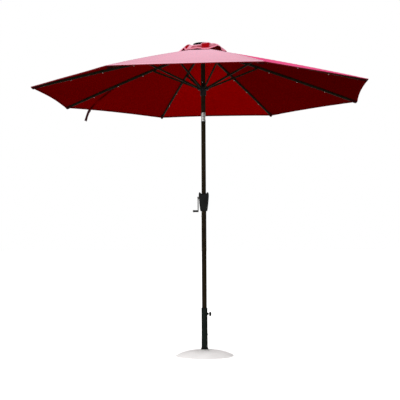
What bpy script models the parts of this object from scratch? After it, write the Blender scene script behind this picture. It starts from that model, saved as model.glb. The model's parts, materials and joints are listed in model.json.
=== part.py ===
"""Market umbrella in a weighted base. Metres, +Z up, origin on the floor under the pole."""

import math

import bmesh
import bpy
from mathutils import Matrix, Vector

# Driving dimensions
GAP = 0.0003
ROUND = 24
RIB_COUNT = 8
RIB_STEP = 2 * math.pi / RIB_COUNT
FIRST_RIB = RIB_STEP / 2

# Canopy: the fabric's top face over a rib is CROWN_Z - SLOPE * r - BEND * r * r
CANOPY_RADIUS = 1.35
CROWN_Z = 2.429
SLOPE = 0.244
BEND = 0.0214
FABRIC = 0.0015
SCALLOP = 0.014
VENT_HOLE = 0.165
VENT_RADIUS = 0.210
VENT_NECK = 0.0465
VENT_TOP_Z = 2.4465
VENT_SHOULDER = 0.145
VENT_SHOULDER_Z = 2.434
VENT_RIM_LIFT = 0.008

# Tie strap: (radius, share across the panel) along its route over one panel
STRAP_PANEL = 2
STRAP_ROUTE = ((0.80, 0.985), (0.90, 0.935), (1.06, 0.870), (1.20, 0.825), (1.354, 0.760))
STRAP_WIDTH = 0.025
STRAP_THICKNESS = 0.0015
STRAP_LIFT = 0.004
STRAP_BEND = 0.012
STRAP_HANG = 0.108
STRAP_SWAY = 0.040

# Ribs and struts
RIB_WIDTH = 0.012
RIB_HEIGHT = 0.018
RIB_TIP = 1.335
RIB_TAB = 0.0065
RIB_WALL = 0.0010
RIB_DROP = 0.0125
HUB_PIVOT = 0.033
BRACKET_RADIUS = 0.448
BRACKET_DROP = 0.0175
STRUT_WIDTH = 0.010
STRUT_HEIGHT = 0.014
PIN = 0.0027
RUNNER_PIVOT_Z = 2.108
CLOSED_ANGLE = math.radians(86)

# Base
BASE_RADIUS = 0.227
BASE_TOP = 0.095
BASE_HEIGHT = 0.044
BASE_EDGE = 0.006
BASE_FLOOR = 0.022
BOLT_SEAT = 0.012
TUBE_OUTER = 0.024
TUBE_INNER = 0.0215
TUBE_TOP_Z = 0.371
CLAMP_Z = 0.329
RIVET_Z = 0.168

# Poles
LOWER_POLE = 0.019
LOWER_POLE_BORE = 0.0178
POLE = 0.0175
POLE_BORE = 0.016
FOOT_Z = 0.0303
SPLIT_Z = 1.133
SNAP_Z = 1.093
TILT_Z = 1.880
TILT_HALF = 0.035
KNUCKLE = 0.0172
TONGUE = 0.0163
POLE_TOP_Z = 2.3997
STOP_RIVET_Z = 2.156

# Crank
CRANK_Z = 1.240
CRANK_LENGTH = 0.105
CRANK_ARM_X = -0.0455
ARM_THICKNESS = 0.006
SHAFT = 0.004
HOUSING_TOP_Z = 1.284
HOUSING_BOTTOM_Z = 1.1345
HOUSING_DEPTH = 0.031
HOUSING_WALL = 0.0025
CRANK_TURNS = 8
CORD = 0.0015

# Hub, pulley and solar unit
HUB_RADIUS = 0.047
HUB_BOTTOM_Z = 2.3975
HUB_TOP_Z = 2.4235
PULLEY_Y = 0.0115
PULLEY_Z = 2.411
PULLEY_RADIUS = 0.0098
PULLEY_GROOVE = 0.0080
CORD_Y = PULLEY_Y + PULLEY_GROOVE + CORD + GAP
SOLAR_FLANGE = 0.078
SOLAR_FLANGE_Z = 2.455
SOLAR_TOP_Z = 2.4685

ALONG_X = (0, math.pi / 2, 0)
ALONG_MINUS_X = (0, -math.pi / 2, 0)
ALONG_Y = (-math.pi / 2, 0, 0)


def fabric_z(radius):
    """Height of the fabric's top face over a rib."""
    return CROWN_Z - SLOPE * radius - BEND * radius * radius


def rib_z(radius):
    """Height of a rib's centreline."""
    return fabric_z(radius) - RIB_DROP


HUB_PIVOT_Z = rib_z(HUB_PIVOT)
BRACKET_Z = rib_z(BRACKET_RADIUS) - BRACKET_DROP
ARM_REACH = math.hypot(BRACKET_RADIUS - HUB_PIVOT, HUB_PIVOT_Z - BRACKET_Z)
STRUT_LENGTH = math.hypot(BRACKET_RADIUS - HUB_PIVOT, BRACKET_Z - RUNNER_PIVOT_Z)
STRUT_ANGLE = math.atan2(BRACKET_Z - RUNNER_PIVOT_Z, BRACKET_RADIUS - HUB_PIVOT)
CLOSED_REACH = ARM_REACH * math.cos(CLOSED_ANGLE)
CLOSED_DROP = ARM_REACH * math.sin(CLOSED_ANGLE) + math.sqrt(STRUT_LENGTH**2 - CLOSED_REACH**2)
TRAVEL = RUNNER_PIVOT_Z - (HUB_PIVOT_Z - CLOSED_DROP)
SPOOL = TRAVEL / (2 * math.pi * CRANK_TURNS) - CORD


def clear_scene():
    for old in list(bpy.data.objects):
        bpy.data.objects.remove(old)


def finish(name, colour, roughness, metallic):
    """A plain surface finish."""
    made = bpy.data.materials.new(name)
    made.use_nodes = True
    shader = made.node_tree.nodes["Principled BSDF"]
    shader.inputs["Base Color"].default_value = (*colour, 1)
    shader.inputs["Roughness"].default_value = roughness
    shader.inputs["Metallic"].default_value = metallic
    return made


# Mesh makers: each returns a bmesh that add() turns into an object


def lathe(outline, sides=ROUND, swell=None):
    """Turn a closed (radius, z) outline about +Z. swell(radius, angle) may bend the radius."""
    mesh = bmesh.new()
    columns = []
    for i in range(sides):
        angle = 2 * math.pi * i / sides
        column = []
        for n, (radius, z) in enumerate(outline):
            if radius == 0 and i:
                column.append(columns[0][n])
                continue
            r = swell(radius, angle) if swell else radius
            column.append(mesh.verts.new((r * math.cos(angle), r * math.sin(angle), z)))
        columns.append(column)
    for i in range(sides):
        here, there = columns[i], columns[(i + 1) % sides]
        for n in range(len(outline)):
            m = (n + 1) % len(outline)
            corners = [here[n], there[n], there[m], here[m]]
            unique = list(dict.fromkeys(corners))
            if len(unique) > 2:
                mesh.faces.new(unique)
    bmesh.ops.recalc_face_normals(mesh, faces=mesh.faces)
    return mesh


def rod(radius, low, high, sides=16):
    return lathe([(0, low), (radius, low), (radius, high), (0, high)], sides)


def pipe(outer, inner, low, high, sides=ROUND):
    return lathe([(inner, low), (outer, low), (outer, high), (inner, high)], sides)


def loft(rings):
    """Closed skin through rings of equal point count, capped at both ends."""
    mesh = bmesh.new()
    made = [[mesh.verts.new(p) for p in ring] for ring in rings]
    for here, there in zip(made, made[1:]):
        for i in range(len(here)):
            j = (i + 1) % len(here)
            mesh.faces.new((here[i], here[j], there[j], there[i]))
    mesh.faces.new(made[0])
    mesh.faces.new(made[-1])
    bmesh.ops.recalc_face_normals(mesh, faces=mesh.faces)
    return mesh


def box(low, high):
    x0, y0, z0 = low
    x1, y1, z1 = high
    square = [(x0, y0), (x1, y0), (x1, y1), (x0, y1)]
    return loft([[(x, y, z0) for x, y in square], [(x, y, z1) for x, y in square]])


def slab(outline, low, high):
    """Extrude an (x, z) outline along y."""
    return loft([[(x, y, z) for x, z in outline] for y in (low, high)])


def arc(centre, radius, start, end, steps):
    """Points of an arc in a plane, angles in degrees."""
    angles = [math.radians(start + (end - start) * i / steps) for i in range(steps + 1)]
    return [(centre[0] + radius * math.cos(a), centre[1] + radius * math.sin(a)) for a in angles]


# Object makers


def add(name, mesh, look=None, at=(0, 0, 0), turn=(0, 0, 0), parent=None):
    """Make an object at a world place, keeping that place under its parent."""
    data = bpy.data.meshes.new(name)
    mesh.to_mesh(data)
    mesh.free()
    made = bpy.data.objects.new(name, data)
    return settle(made, look, at, turn, parent)


def settle(made, look, at, turn, parent):
    bpy.context.scene.collection.objects.link(made)
    made.location = at
    made.rotation_euler = turn
    if parent:
        bpy.context.view_layer.update()
        made.parent = parent
        made.matrix_parent_inverse = parent.matrix_world.inverted()
    if look:
        shade(made, look)
    return made


def shade(made, look):
    made.data.materials.clear()
    made.data.materials.append(look)
    made.data.shade_smooth()
    made.data.set_sharp_from_angle(angle=math.radians(35))


def combine(target, other, operation="DIFFERENCE"):
    """Apply one Boolean to target and drop the other object."""
    step = target.modifiers.new("combine", "BOOLEAN")
    step.operation = operation
    step.solver = "EXACT"
    step.object = other
    bpy.context.view_layer.update()
    done = target.evaluated_get(bpy.context.evaluated_depsgraph_get())
    baked = bpy.data.meshes.new_from_object(done)
    target.modifiers.clear()
    target.data = baked
    bpy.data.objects.remove(other)


def shaped(name, mesh, look, steps, at=(0, 0, 0), turn=(0, 0, 0), parent=None):
    """Make an object and apply (operation, mesh) steps to it, all in the object's own frame."""
    made = add(name, mesh)
    for operation, other in steps:
        combine(made, add("tool", other), operation)
    data = made.data
    bpy.data.objects.remove(made)
    return settle(bpy.data.objects.new(name, data), look, at, turn, parent)


def axis_frame(name, at, parent=None):
    """An empty on a joint's axis, which carries what moves with that joint."""
    made = bpy.data.objects.new(name, None)
    made.empty_display_size = 0.05
    return settle(made, None, at, (0, 0, 0), parent)


def turned_mesh(mesh, turn, at=(0, 0, 0)):
    """The mesh rotated and then moved, for cutters that cross a piece."""
    place = Matrix.Translation(at)
    for angle, axis in zip(turn, "XYZ"):
        place = place @ Matrix.Rotation(angle, 4, axis)
    bmesh.ops.transform(mesh, matrix=place, verts=mesh.verts)
    return mesh


# Base


def base_outline():
    """Half section of the cast dome, from the bolt seat round to the tube's pocket."""
    points = [(0.013, 0), (BASE_RADIUS - 0.004, 0), (BASE_RADIUS, 0.003)]
    steps = 6
    for i in range(steps + 1):
        share = 1 - i / steps
        radius = BASE_TOP + (BASE_RADIUS - BASE_TOP) * share
        points.append((radius, BASE_EDGE + (BASE_HEIGHT - BASE_EDGE) * (1 - share**1.7)))
    pocket = TUBE_OUTER + GAP
    bolt_hole = 0.0055
    points += [(pocket, BASE_HEIGHT), (pocket, BASE_FLOOR), (bolt_hole, BASE_FLOOR)]
    return points + [(bolt_hole, BOLT_SEAT), (0.013, BOLT_SEAT)]


def make_base(stone, black, grey, steel, plastic):
    add("base_weight", lathe(base_outline(), 36), stone)
    ring_top = BASE_HEIGHT + 0.0100
    pocket = TUBE_OUTER + GAP
    ring = [(pocket, BASE_HEIGHT + GAP), (0.033, BASE_HEIGHT + GAP), (0.033, ring_top - 0.003)]
    add("base_ring", lathe(ring + [(0.031, ring_top), (pocket, ring_top)]), grey)
    low = ring_top + GAP
    collar = [(pocket, low), (0.0300, low), (0.0300, low + 0.003), (0.0262, low + 0.013)]
    add("foot_collar", lathe(collar + [(pocket, low + 0.013)]), plastic)
    make_base_tube(black, steel, plastic)
    make_clamp(black, steel, plastic)


def make_base_tube(black, steel, plastic):
    foot = BASE_FLOOR + GAP
    wall = [
        ("DIFFERENCE", turned_mesh(rod(0.0046, 0, 0.04, 16), ALONG_X, (0, 0, CLAMP_Z))),
        ("DIFFERENCE", turned_mesh(rod(0.0024, 0, 0.04, 12), ALONG_X, (0, 0, RIVET_Z))),
    ]
    shaped("base_tube", pipe(TUBE_OUTER, TUBE_INNER, foot, TUBE_TOP_Z), black, wall)
    add("tube_plug", pipe(TUBE_INNER - GAP, 0.0051, foot, FOOT_Z - GAP, 24), steel)
    head = [(0, 0.0045), (0.009, 0.0045), (0.009, BOLT_SEAT - GAP), (0.0048, BOLT_SEAT - GAP)]
    add("base_bolt", lathe(head + [(0.0048, 0.0290), (0, 0.0290)], 12), steel)
    inner = LOWER_POLE + GAP
    outer = TUBE_INNER - GAP
    lip = TUBE_TOP_Z + GAP
    bushing = [(inner, 0.345), (outer, 0.345), (outer, lip), (0.0250, lip), (0.0250, lip + 0.003)]
    add("tube_bushing", lathe(bushing + [(0.0235, lip + 0.004), (inner, lip + 0.004)]), plastic)
    hole = [("DIFFERENCE", turned_mesh(rod(0.0024, 0, 0.04, 12), ALONG_X, (0, 0, RIVET_Z)))]
    shaped("guide_sleeve", pipe(outer, inner, 0.148, 0.188), plastic, hole)
    head_x = TUBE_OUTER + GAP
    rivet = [(0, inner + GAP), (0.0020, inner + GAP), (0.0020, head_x), (0.0050, head_x)]
    rivet += [(0.0048, head_x + 0.0015), (0.0030, head_x + 0.0030), (0, head_x + 0.0035)]
    add("tube_rivet", lathe(rivet, 12), black, (0, 0, RIVET_Z), ALONG_X)


def make_clamp(black, steel, plastic):
    boss = turned_mesh(pipe(0.0095, SHAFT + GAP, 0.018, 0.0305, 20), ALONG_X)
    saddle = [("DIFFERENCE", rod(TUBE_OUTER + GAP, -0.02, 0.02, ROUND))]
    shaped("clamp_boss", boss, black, saddle, (0, 0, CLAMP_Z))
    frame = axis_frame("clamp_axis", (0, 0, CLAMP_Z))
    stem = rod(SHAFT, LOWER_POLE + GAP, 0.0460, 16)
    add("clamp_stem", stem, steel, (0, 0, CLAMP_Z), ALONG_X, frame)

    def lobes(radius, angle):
        return radius * (1 + 0.10 * math.cos(5 * angle)) if radius > 0.010 else radius

    bore = SHAFT + GAP
    knob = [(0, 0.0463), (bore, 0.0463), (bore, 0.037), (0.0090, 0.037), (0.0165, 0.0385)]
    knob += [(0.0183, 0.0415), (0.0176, 0.0460), (0.0140, 0.0505), (0.0080, 0.0540), (0, 0.0550)]
    add("clamp_knob", lathe(knob, 30, lobes), plastic, (0, 0, CLAMP_Z), ALONG_X, frame)


# Poles


def make_poles(bronze, plastic, frame):
    plug = [(0, FOOT_Z), (LOWER_POLE, FOOT_Z), (LOWER_POLE, FOOT_Z + 0.005)]
    plug += [(LOWER_POLE_BORE - GAP, FOOT_Z + 0.005), (LOWER_POLE_BORE - GAP, FOOT_Z + 0.025)]
    plug += [(0.014, FOOT_Z + 0.025), (0.014, FOOT_Z + 0.008), (0, FOOT_Z + 0.008)]
    add("pole_foot_plug", lathe(plug), plastic)
    snap = turned_mesh(rod(0.0046, 0, 0.04, 16), ALONG_MINUS_X, (0, 0, SNAP_Z))
    low = FOOT_Z + 0.005 + GAP
    tube = pipe(LOWER_POLE, LOWER_POLE_BORE, low, SPLIT_Z)
    shaped("lower_pole", tube, bronze, [("DIFFERENCE", snap)], parent=frame)
    snap = turned_mesh(rod(0.0046, 0, 0.04, 16), ALONG_MINUS_X, (0, 0, SNAP_Z))
    shaft = turned_mesh(rod(SHAFT + GAP, -0.04, 0.04, 16), ALONG_X, (0, 0, CRANK_Z))
    cuts = [("DIFFERENCE", snap), ("DIFFERENCE", shaft)]
    tube = pipe(POLE, POLE_BORE, SNAP_Z - 0.090, TILT_Z - TILT_HALF)
    shaped("middle_pole", tube, bronze, cuts, parent=frame)
    axis = axis_frame("snap_axis", (0, 0, SNAP_Z), frame)
    button = [(0, 0.0090), (0.0060, 0.0090), (0.0060, 0.0115), (0.0042, 0.0115)]
    button += [(0.0042, 0.0205), (0.0030, 0.0222), (0, 0.0228)]
    add("snap_button", lathe(button, 16), plastic, (0, 0, SNAP_Z), ALONG_MINUS_X, axis)


def make_upper_pole(bronze, steel, frame):
    low = TILT_Z + TILT_HALF
    cut = turned_mesh(rod(0.0023, 0, 0.04, 12), ALONG_MINUS_X, (0, 0, STOP_RIVET_Z))
    tube = pipe(POLE, POLE_BORE, low, POLE_TOP_Z)
    turn = (0, 0, math.radians(75))
    shaped("upper_pole", tube, bronze, [("DIFFERENCE", cut)], (0, 0, 0), turn, frame)
    rivet = [(0, 0.0130), (0.0020, 0.0130), (0.0020, POLE + GAP), (0.0042, POLE + GAP)]
    rivet += [(0.0036, POLE + 0.0020), (0, POLE + 0.0026)]
    place = turned_mesh(lathe(rivet, 12), ALONG_MINUS_X)
    add("stop_rivet", place, steel, (0, 0, STOP_RIVET_Z), turn, frame)


# Tilt joint


def knuckle_side(radius, bottom):
    """Outline of a plate that is round about the pivot, straight below it."""
    return [(radius, bottom)] + arc((0, 0), radius, 0, 180, 12) + [(-radius, bottom)]


def make_tilt(alloy, steel, plastic, lower_frame, upper_frame):
    floor = -(TONGUE + 0.0005)
    base = -TILT_HALF + GAP
    pivot = (0, 0, TILT_Z)
    plate = slab(knuckle_side(TONGUE + 0.0002, -0.040), -0.03, 0.03)
    slot = box((-0.03, -0.0075, floor), (0.03, 0.0075, 0.03))
    spigot = rod(POLE_BORE - GAP, base - 0.026, base + 0.002, ROUND)
    hole = turned_mesh(rod(PIN + GAP, -0.03, 0.03, 16), ALONG_Y)
    pocket = turned_mesh(rod(0.0053, 0.0040, 0.03, 20), ALONG_X, (0, 0, -0.0260))
    steps = [("INTERSECT", plate), ("DIFFERENCE", slot), ("UNION", spigot)]
    steps += [("DIFFERENCE", hole), ("DIFFERENCE", pocket)]
    body = rod(KNUCKLE, base, 0.020, ROUND)
    shaped("tilt_fork", body, alloy, steps, pivot, parent=lower_frame)
    add("tilt_pin", rod(PIN, -0.0160, 0.0160, 16), steel, pivot, ALONG_Y, lower_frame)
    axis = axis_frame("tilt_button_axis", (0, 0, TILT_Z - 0.0260), lower_frame)
    button = [(0, 0.0085), (0.0050, 0.0085), (0.0050, 0.0168), (0.0040, 0.0177), (0, 0.0178)]
    add("tilt_button", lathe(button, 20), plastic, (0, 0, TILT_Z - 0.0260), ALONG_X, axis)

    plate = slab([(-x, -z) for x, z in knuckle_side(TONGUE, -0.022)], -0.0070, 0.0070)
    spigot = rod(POLE_BORE - GAP, TILT_HALF - 0.002, TILT_HALF + 0.025, ROUND)
    hole = turned_mesh(rod(PIN + GAP, -0.03, 0.03, 16), ALONG_Y)
    steps = [("UNION", plate), ("UNION", spigot), ("DIFFERENCE", hole)]
    body = rod(KNUCKLE, 0.0190, TILT_HALF - GAP, ROUND)
    shaped("tilt_clevis", body, alloy, steps, pivot, parent=upper_frame)


# Crank


def housing_ring(y, inset):
    """Outline of the crank housing at depth y, drawn in by inset all round."""
    half = [(0.0180, 1.2700), (0.0310, HOUSING_TOP_Z), (0.0360, 1.2800), (0.0385, 1.2620)]
    half += [(0.0375, 1.2400), (0.0330, 1.1900), (0.0280, 1.1500), (0.0248, HOUSING_BOTTOM_Z)]
    middle = (HOUSING_TOP_Z + HOUSING_BOTTOM_Z) / 2
    height = (HOUSING_TOP_Z - HOUSING_BOTTOM_Z) / 2
    across = 1 - inset / 0.0385
    along = 1 - inset / height
    points = [(x * across, middle + (z - middle) * along) for x, z in half]
    points += [(-x, z) for x, z in reversed(points)]
    return [(x, y, z) for x, z in points]


def make_housing(plastic, steel, frame):
    for name, side in (("crank_housing_front", -1), ("crank_housing_rear", 1)):
        depth = HOUSING_DEPTH
        rings = [(GAP / 2, 0), (depth - 0.007, 0), (depth - 0.002, 0.0025), (depth, 0.006)]
        shell = loft([housing_ring(side * y, inset) for y, inset in rings])
        wall = HOUSING_WALL
        rings = [(-0.001, wall), (depth - 0.009, wall), (depth - wall, 0.007)]
        hollow = loft([housing_ring(side * y, inset) for y, inset in rings])
        pole = rod(POLE + GAP, 1.10, 1.32, ROUND)
        bush = turned_mesh(rod(0.0075 + GAP, 0.02, 0.06, 16), ALONG_MINUS_X, (0, 0, CRANK_Z))
        steps = [("DIFFERENCE", hollow), ("DIFFERENCE", pole), ("DIFFERENCE", bush)]
        for x in (-0.0285, 0.0285):
            post = turned_mesh(rod(0.0048, GAP / 2, depth - 0.001, 16), ALONG_Y, (x, 0, 1.2675))
            if side < 0:
                bmesh.ops.transform(post, matrix=Matrix.Scale(-1, 4, (0, 1, 0)), verts=post.verts)
                bmesh.ops.recalc_face_normals(post, faces=post.faces)
            steps.append(("UNION", post))
            far = 0.06 if side > 0 else 0.0
            near = 0.0 if side > 0 else -0.020
            hole = turned_mesh(rod(0.0019, near, far, 12), ALONG_Y, (x, 0, 1.2675))
            steps.append(("DIFFERENCE", hole))
        shaped(name, shell, plastic, steps, parent=frame)
    for i, x in enumerate((-0.0285, 0.0285)):
        seat = HOUSING_DEPTH + GAP
        screw = [(0, -0.0180), (0.0016, -0.0180), (0.0016, seat), (0.0036, seat)]
        screw += [(0.0032, seat + 0.0018), (0, seat + 0.0022)]
        add(f"housing_screw_{i + 1}", lathe(screw, 12), steel, (x, 0, 1.2675), ALONG_Y, frame)
    flange = 0.0388 + GAP
    bush = [(SHAFT + GAP, 0.0335), (0.0075, 0.0335), (0.0075, flange), (0.0095, flange)]
    bush += [(0.0095, flange + 0.0022), (SHAFT + GAP, flange + 0.0022)]
    add("shaft_bush", lathe(bush, 16), steel, (0, 0, CRANK_Z), ALONG_MINUS_X, frame)


def brake_coil():
    """Square wire wound round the shaft."""
    turns, steps, mean, wire = 3, 12, 0.0070, 0.0018
    rings = []
    for i in range(turns * steps + 1):
        angle = 2 * math.pi * i / steps
        z = 0.0200 + 0.0024 * i / steps
        inner, outer = mean - wire / 2, mean + wire / 2
        corners = [(inner, z), (outer, z), (outer, z + wire), (inner, z + wire)]
        rings.append([(r * math.cos(angle), r * math.sin(angle), h) for r, h in corners])
    return loft(rings)


def make_crank(steel, plastic, bronze, frame):
    axis = axis_frame("crank_axis", (0, 0, CRANK_Z), frame)
    at = (0, 0, CRANK_Z)
    outer = ARM_THICKNESS / 2 - CRANK_ARM_X
    add("crank_shaft", rod(SHAFT, -0.0310, outer, 16), steel, at, ALONG_MINUS_X, axis)
    flange, half, bore = 0.0125, 0.0090, SHAFT + GAP
    drum = [(bore, -half), (flange, -half), (flange, 0.0015 - half), (SPOOL, 0.0015 - half)]
    drum += [(SPOOL, half - 0.0015), (flange, half - 0.0015), (flange, half), (bore, half)]
    add("crank_spool", lathe(drum, 16), plastic, at, ALONG_X, axis)
    add("brake_spring", brake_coil(), steel, at, ALONG_X, axis)
    outline = arc((0, 0), 0.0095, 0, 180, 8) + arc((0, -CRANK_LENGTH), 0.0080, 180, 360, 8)
    bar = slab(outline, -ARM_THICKNESS / 2, ARM_THICKNESS / 2)
    shaft_hole = turned_mesh(rod(SHAFT + GAP, -0.02, 0.02, 16), ALONG_Y)
    pin_hole = turned_mesh(rod(PIN + GAP, -0.02, 0.02, 16), ALONG_Y, (0, 0, -CRANK_LENGTH))
    steps = [("DIFFERENCE", shaft_hole), ("DIFFERENCE", pin_hole)]
    quarter = (0, 0, math.pi / 2)
    shaped("crank_arm", bar, bronze, steps, (CRANK_ARM_X, 0, CRANK_Z), quarter, axis)
    seat = outer + GAP
    screw = [(0, seat), (0.0062, seat), (0.0058, seat + 0.0022), (0, seat + 0.0030)]
    add("crank_screw", lathe(screw, 16), steel, at, ALONG_MINUS_X, axis)
    low = CRANK_Z - CRANK_LENGTH
    inner = -CRANK_ARM_X - ARM_THICKNESS / 2
    pin = rod(PIN, inner, 0.0860, 16)
    add("grip_pin", pin, steel, (0, 0, low), ALONG_MINUS_X, axis)
    grip_axis = axis_frame("grip_axis", (0, 0, low), axis)
    bore = PIN + GAP
    grip = [(bore, seat + 0.0003), (0.0068, seat + 0.0003), (0.0082, seat + 0.0040)]
    grip += [(0.0078, 0.0640), (0.0086, 0.0800), (0.0074, 0.0860), (0, 0.0875)]
    grip += [(0, 0.0863), (bore, 0.0863)]
    add("crank_grip", lathe(grip, 20), plastic, (0, 0, low), ALONG_MINUS_X, grip_axis)


# Runner, hub and solar unit


def radial_slots(width, start, low, high):
    """Boxes along every rib direction."""
    slots = []
    for k in range(RIB_COUNT):
        slot = box((start, -width / 2, low), (0.08, width / 2, high))
        slots.append(turned_mesh(slot, (0, 0, FIRST_RIB + k * RIB_STEP)))
    return slots


def make_runner(plastic, frame):
    bore = POLE + 0.0007
    top, crown, bottom = 0.0140, -0.0140, -0.0580
    outline = [(bore, bottom), (0.0225, bottom), (0.0240, bottom + 0.004), (0.0240, crown - 0.004)]
    outline += [(0.0430, crown + 0.002), (0.0430, top - 0.003), (0.0405, top), (bore, top)]
    slots = radial_slots(STRUT_WIDTH + 0.001, 0.0248, -0.03, 0.03)
    steps = [("DIFFERENCE", slot) for slot in slots]
    shaped("runner", lathe(outline), plastic, steps, (0, 0, RUNNER_PIVOT_Z), parent=frame)


def make_hub(plastic, steel, glass, frame):
    bore = POLE + GAP
    neck = HUB_BOTTOM_Z - 0.024
    outline = [(0, POLE_TOP_Z + GAP), (bore, POLE_TOP_Z + GAP), (bore, neck), (0.0220, neck)]
    outline += [(0.0220, HUB_BOTTOM_Z), (HUB_RADIUS - 0.002, HUB_BOTTOM_Z)]
    outline += [(HUB_RADIUS, HUB_BOTTOM_Z + 0.003), (HUB_RADIUS, HUB_TOP_Z), (0, HUB_TOP_Z)]
    slots = radial_slots(RIB_TAB + 0.001, 0.0235, HUB_BOTTOM_Z - 0.0175, HUB_TOP_Z + 0.0165)
    steps = [("DIFFERENCE", slot) for slot in slots]
    wheel = box((-0.0045, 0.0005, HUB_BOTTOM_Z - 0.004), (0.0045, 0.0228, HUB_TOP_Z + 0.01))
    run = rod(0.0030, HUB_BOTTOM_Z - 0.04, HUB_TOP_Z + 0.01, 12)
    run = turned_mesh(run, (0, 0, 0), (0, CORD_Y, 0))
    pin = turned_mesh(rod(0.0020 + GAP, -0.0120, 0.0120, 12), ALONG_X, (0, PULLEY_Y, PULLEY_Z))
    steps += [("DIFFERENCE", cut) for cut in (wheel, run, pin)]
    shaped("top_hub", lathe(outline), plastic, steps, parent=frame)
    axis = axis_frame("pulley_axis", (0, PULLEY_Y, PULLEY_Z), frame)
    groove = [(0.0023, -0.0035), (PULLEY_RADIUS, -0.0035), (PULLEY_GROOVE, -0.0019)]
    groove += [(PULLEY_GROOVE, 0.0019), (PULLEY_RADIUS, 0.0035), (0.0023, 0.0035)]
    at = (0, PULLEY_Y, PULLEY_Z)
    add("pulley", lathe(groove, 20), plastic, at, ALONG_X, axis)
    add("pulley_pin", rod(0.0020, -0.0115, 0.0115, 12), steel, at, ALONG_X, frame)
    low = HUB_TOP_Z + GAP
    flange = SOLAR_FLANGE_Z
    unit = [(0, low), (0.0420, low), (0.0445, low + 0.003), (0.0445, flange), (0.0740, flange)]
    unit += [(SOLAR_FLANGE, flange + 0.003), (SOLAR_FLANGE, flange + 0.0095), (0.0765, flange + 0.0115)]
    unit += [(0.0723, flange + 0.0115), (0.0723, flange + 0.0085), (0, flange + 0.0085)]
    add("solar_housing", lathe(unit, 32), plastic, parent=frame)
    low = flange + 0.0085 + GAP
    panel = [(0, low), (0.0720, low), (0.0720, flange + 0.0115), (0.0600, flange + 0.0127)]
    add("solar_panel", lathe(panel + [(0, SOLAR_TOP_Z)], 32), glass, parent=frame)


def make_cord(look, frame):
    low = RUNNER_PIVOT_Z + 0.0140 + GAP
    add("lift_cord", rod(CORD, low, PULLEY_Z, 8), look, (0, CORD_Y, 0), parent=frame)


# Ribs and struts


def rib_section(radius, inset):
    """The rib's eight-sided section at a distance from the pole's axis."""
    slope = -(SLOPE + 2 * BEND * radius)
    up = Vector((-slope, 0, 1)).normalized()
    middle = Vector((radius - HUB_PIVOT, 0, rib_z(radius) - HUB_PIVOT_Z))
    side, half, cut = RIB_WIDTH / 2 - inset, RIB_HEIGHT / 2 - inset, 0.0022
    points = [(side, half - cut), (side - cut, half), (cut - side, half), (-side, half - cut)]
    points += [(-y, -h) for y, h in points]
    return [middle + up * h + Vector((0, y, 0)) for y, h in points]


def rib_mesh():
    """One rib tube in its own frame, open at the tip: hub pivot at the origin, +X outwards."""
    inner_end = HUB_PIVOT + 0.020
    count = 7
    stations = [inner_end + (RIB_TIP - inner_end) * i / (count - 1) for i in range(count)]
    outside = [rib_section(radius, 0) for radius in stations]
    stations[0] += 0.014
    inside = [rib_section(radius, RIB_WALL) for radius in reversed(stations)]
    return loft(outside + inside)


def make_ribs(bronze, frame):
    slope = math.atan(SLOPE + 2 * BEND * HUB_PIVOT)
    reach = 0.030
    tab_end = (reach * math.cos(slope), -reach * math.sin(slope))
    normal = math.degrees(slope)
    tab = arc((0, 0), 0.0080, 90 - normal, 270 - normal, 6)
    for h in (-0.0075, 0.0075):
        tab.append((tab_end[0] + h * math.sin(slope), tab_end[1] + h * math.cos(slope)))
    bracket_x = BRACKET_RADIUS - HUB_PIVOT
    bracket_z = BRACKET_Z - HUB_PIVOT_Z
    cheek = [(bracket_x - 0.012, bracket_z + 0.016), (bracket_x - 0.008, bracket_z - 0.004)]
    cheek += arc((bracket_x, bracket_z), 0.0075, 210, 330, 3)
    cheek += [(bracket_x + 0.008, bracket_z - 0.004), (bracket_x + 0.012, bracket_z + 0.009)]
    cheeks = [slab(cheek, 0.0056, 0.0078), slab(cheek, -0.0078, -0.0056)]
    pin = turned_mesh(rod(PIN, -0.0070, 0.0070, 8), ALONG_Y, (bracket_x, 0, bracket_z))
    steps = [("UNION", slab(tab, -RIB_TAB / 2, RIB_TAB / 2))]
    steps += [("UNION", piece) for piece in (*cheeks, pin)]
    first = shaped("rib_1", rib_mesh(), bronze, steps)
    data = first.data
    bpy.data.objects.remove(first)
    ribs = []
    for k in range(RIB_COUNT):
        azimuth = FIRST_RIB + k * RIB_STEP
        at = (HUB_PIVOT * math.cos(azimuth), HUB_PIVOT * math.sin(azimuth), HUB_PIVOT_Z)
        made = bpy.data.objects.new(f"rib_{k + 1}", data)
        ribs.append(settle(made, None, at, (0, 0, azimuth), frame))
    return ribs


def make_struts(bronze, ribs):
    """Bars from the rib brackets to the runner; each turns about its bracket pin."""
    half = STRUT_HEIGHT / 2
    bar = arc((0, 0), half, 90, -90, 6) + arc((-STRUT_LENGTH, 0), half, -90, -270, 6)
    eye = turned_mesh(rod(PIN + GAP, -0.02, 0.02, 8), ALONG_Y)
    solid = slab(bar, -STRUT_WIDTH / 2, STRUT_WIDTH / 2)
    first = shaped("strut_1", solid, bronze, [("DIFFERENCE", eye)])
    data = first.data
    bpy.data.objects.remove(first)
    for k, rib in enumerate(ribs):
        azimuth = FIRST_RIB + k * RIB_STEP
        at = (BRACKET_RADIUS * math.cos(azimuth), BRACKET_RADIUS * math.sin(azimuth), BRACKET_Z)
        made = bpy.data.objects.new(f"strut_{k + 1}", data)
        settle(made, None, at, (0, -STRUT_ANGLE, azimuth), rib)


# Soft parts


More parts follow.
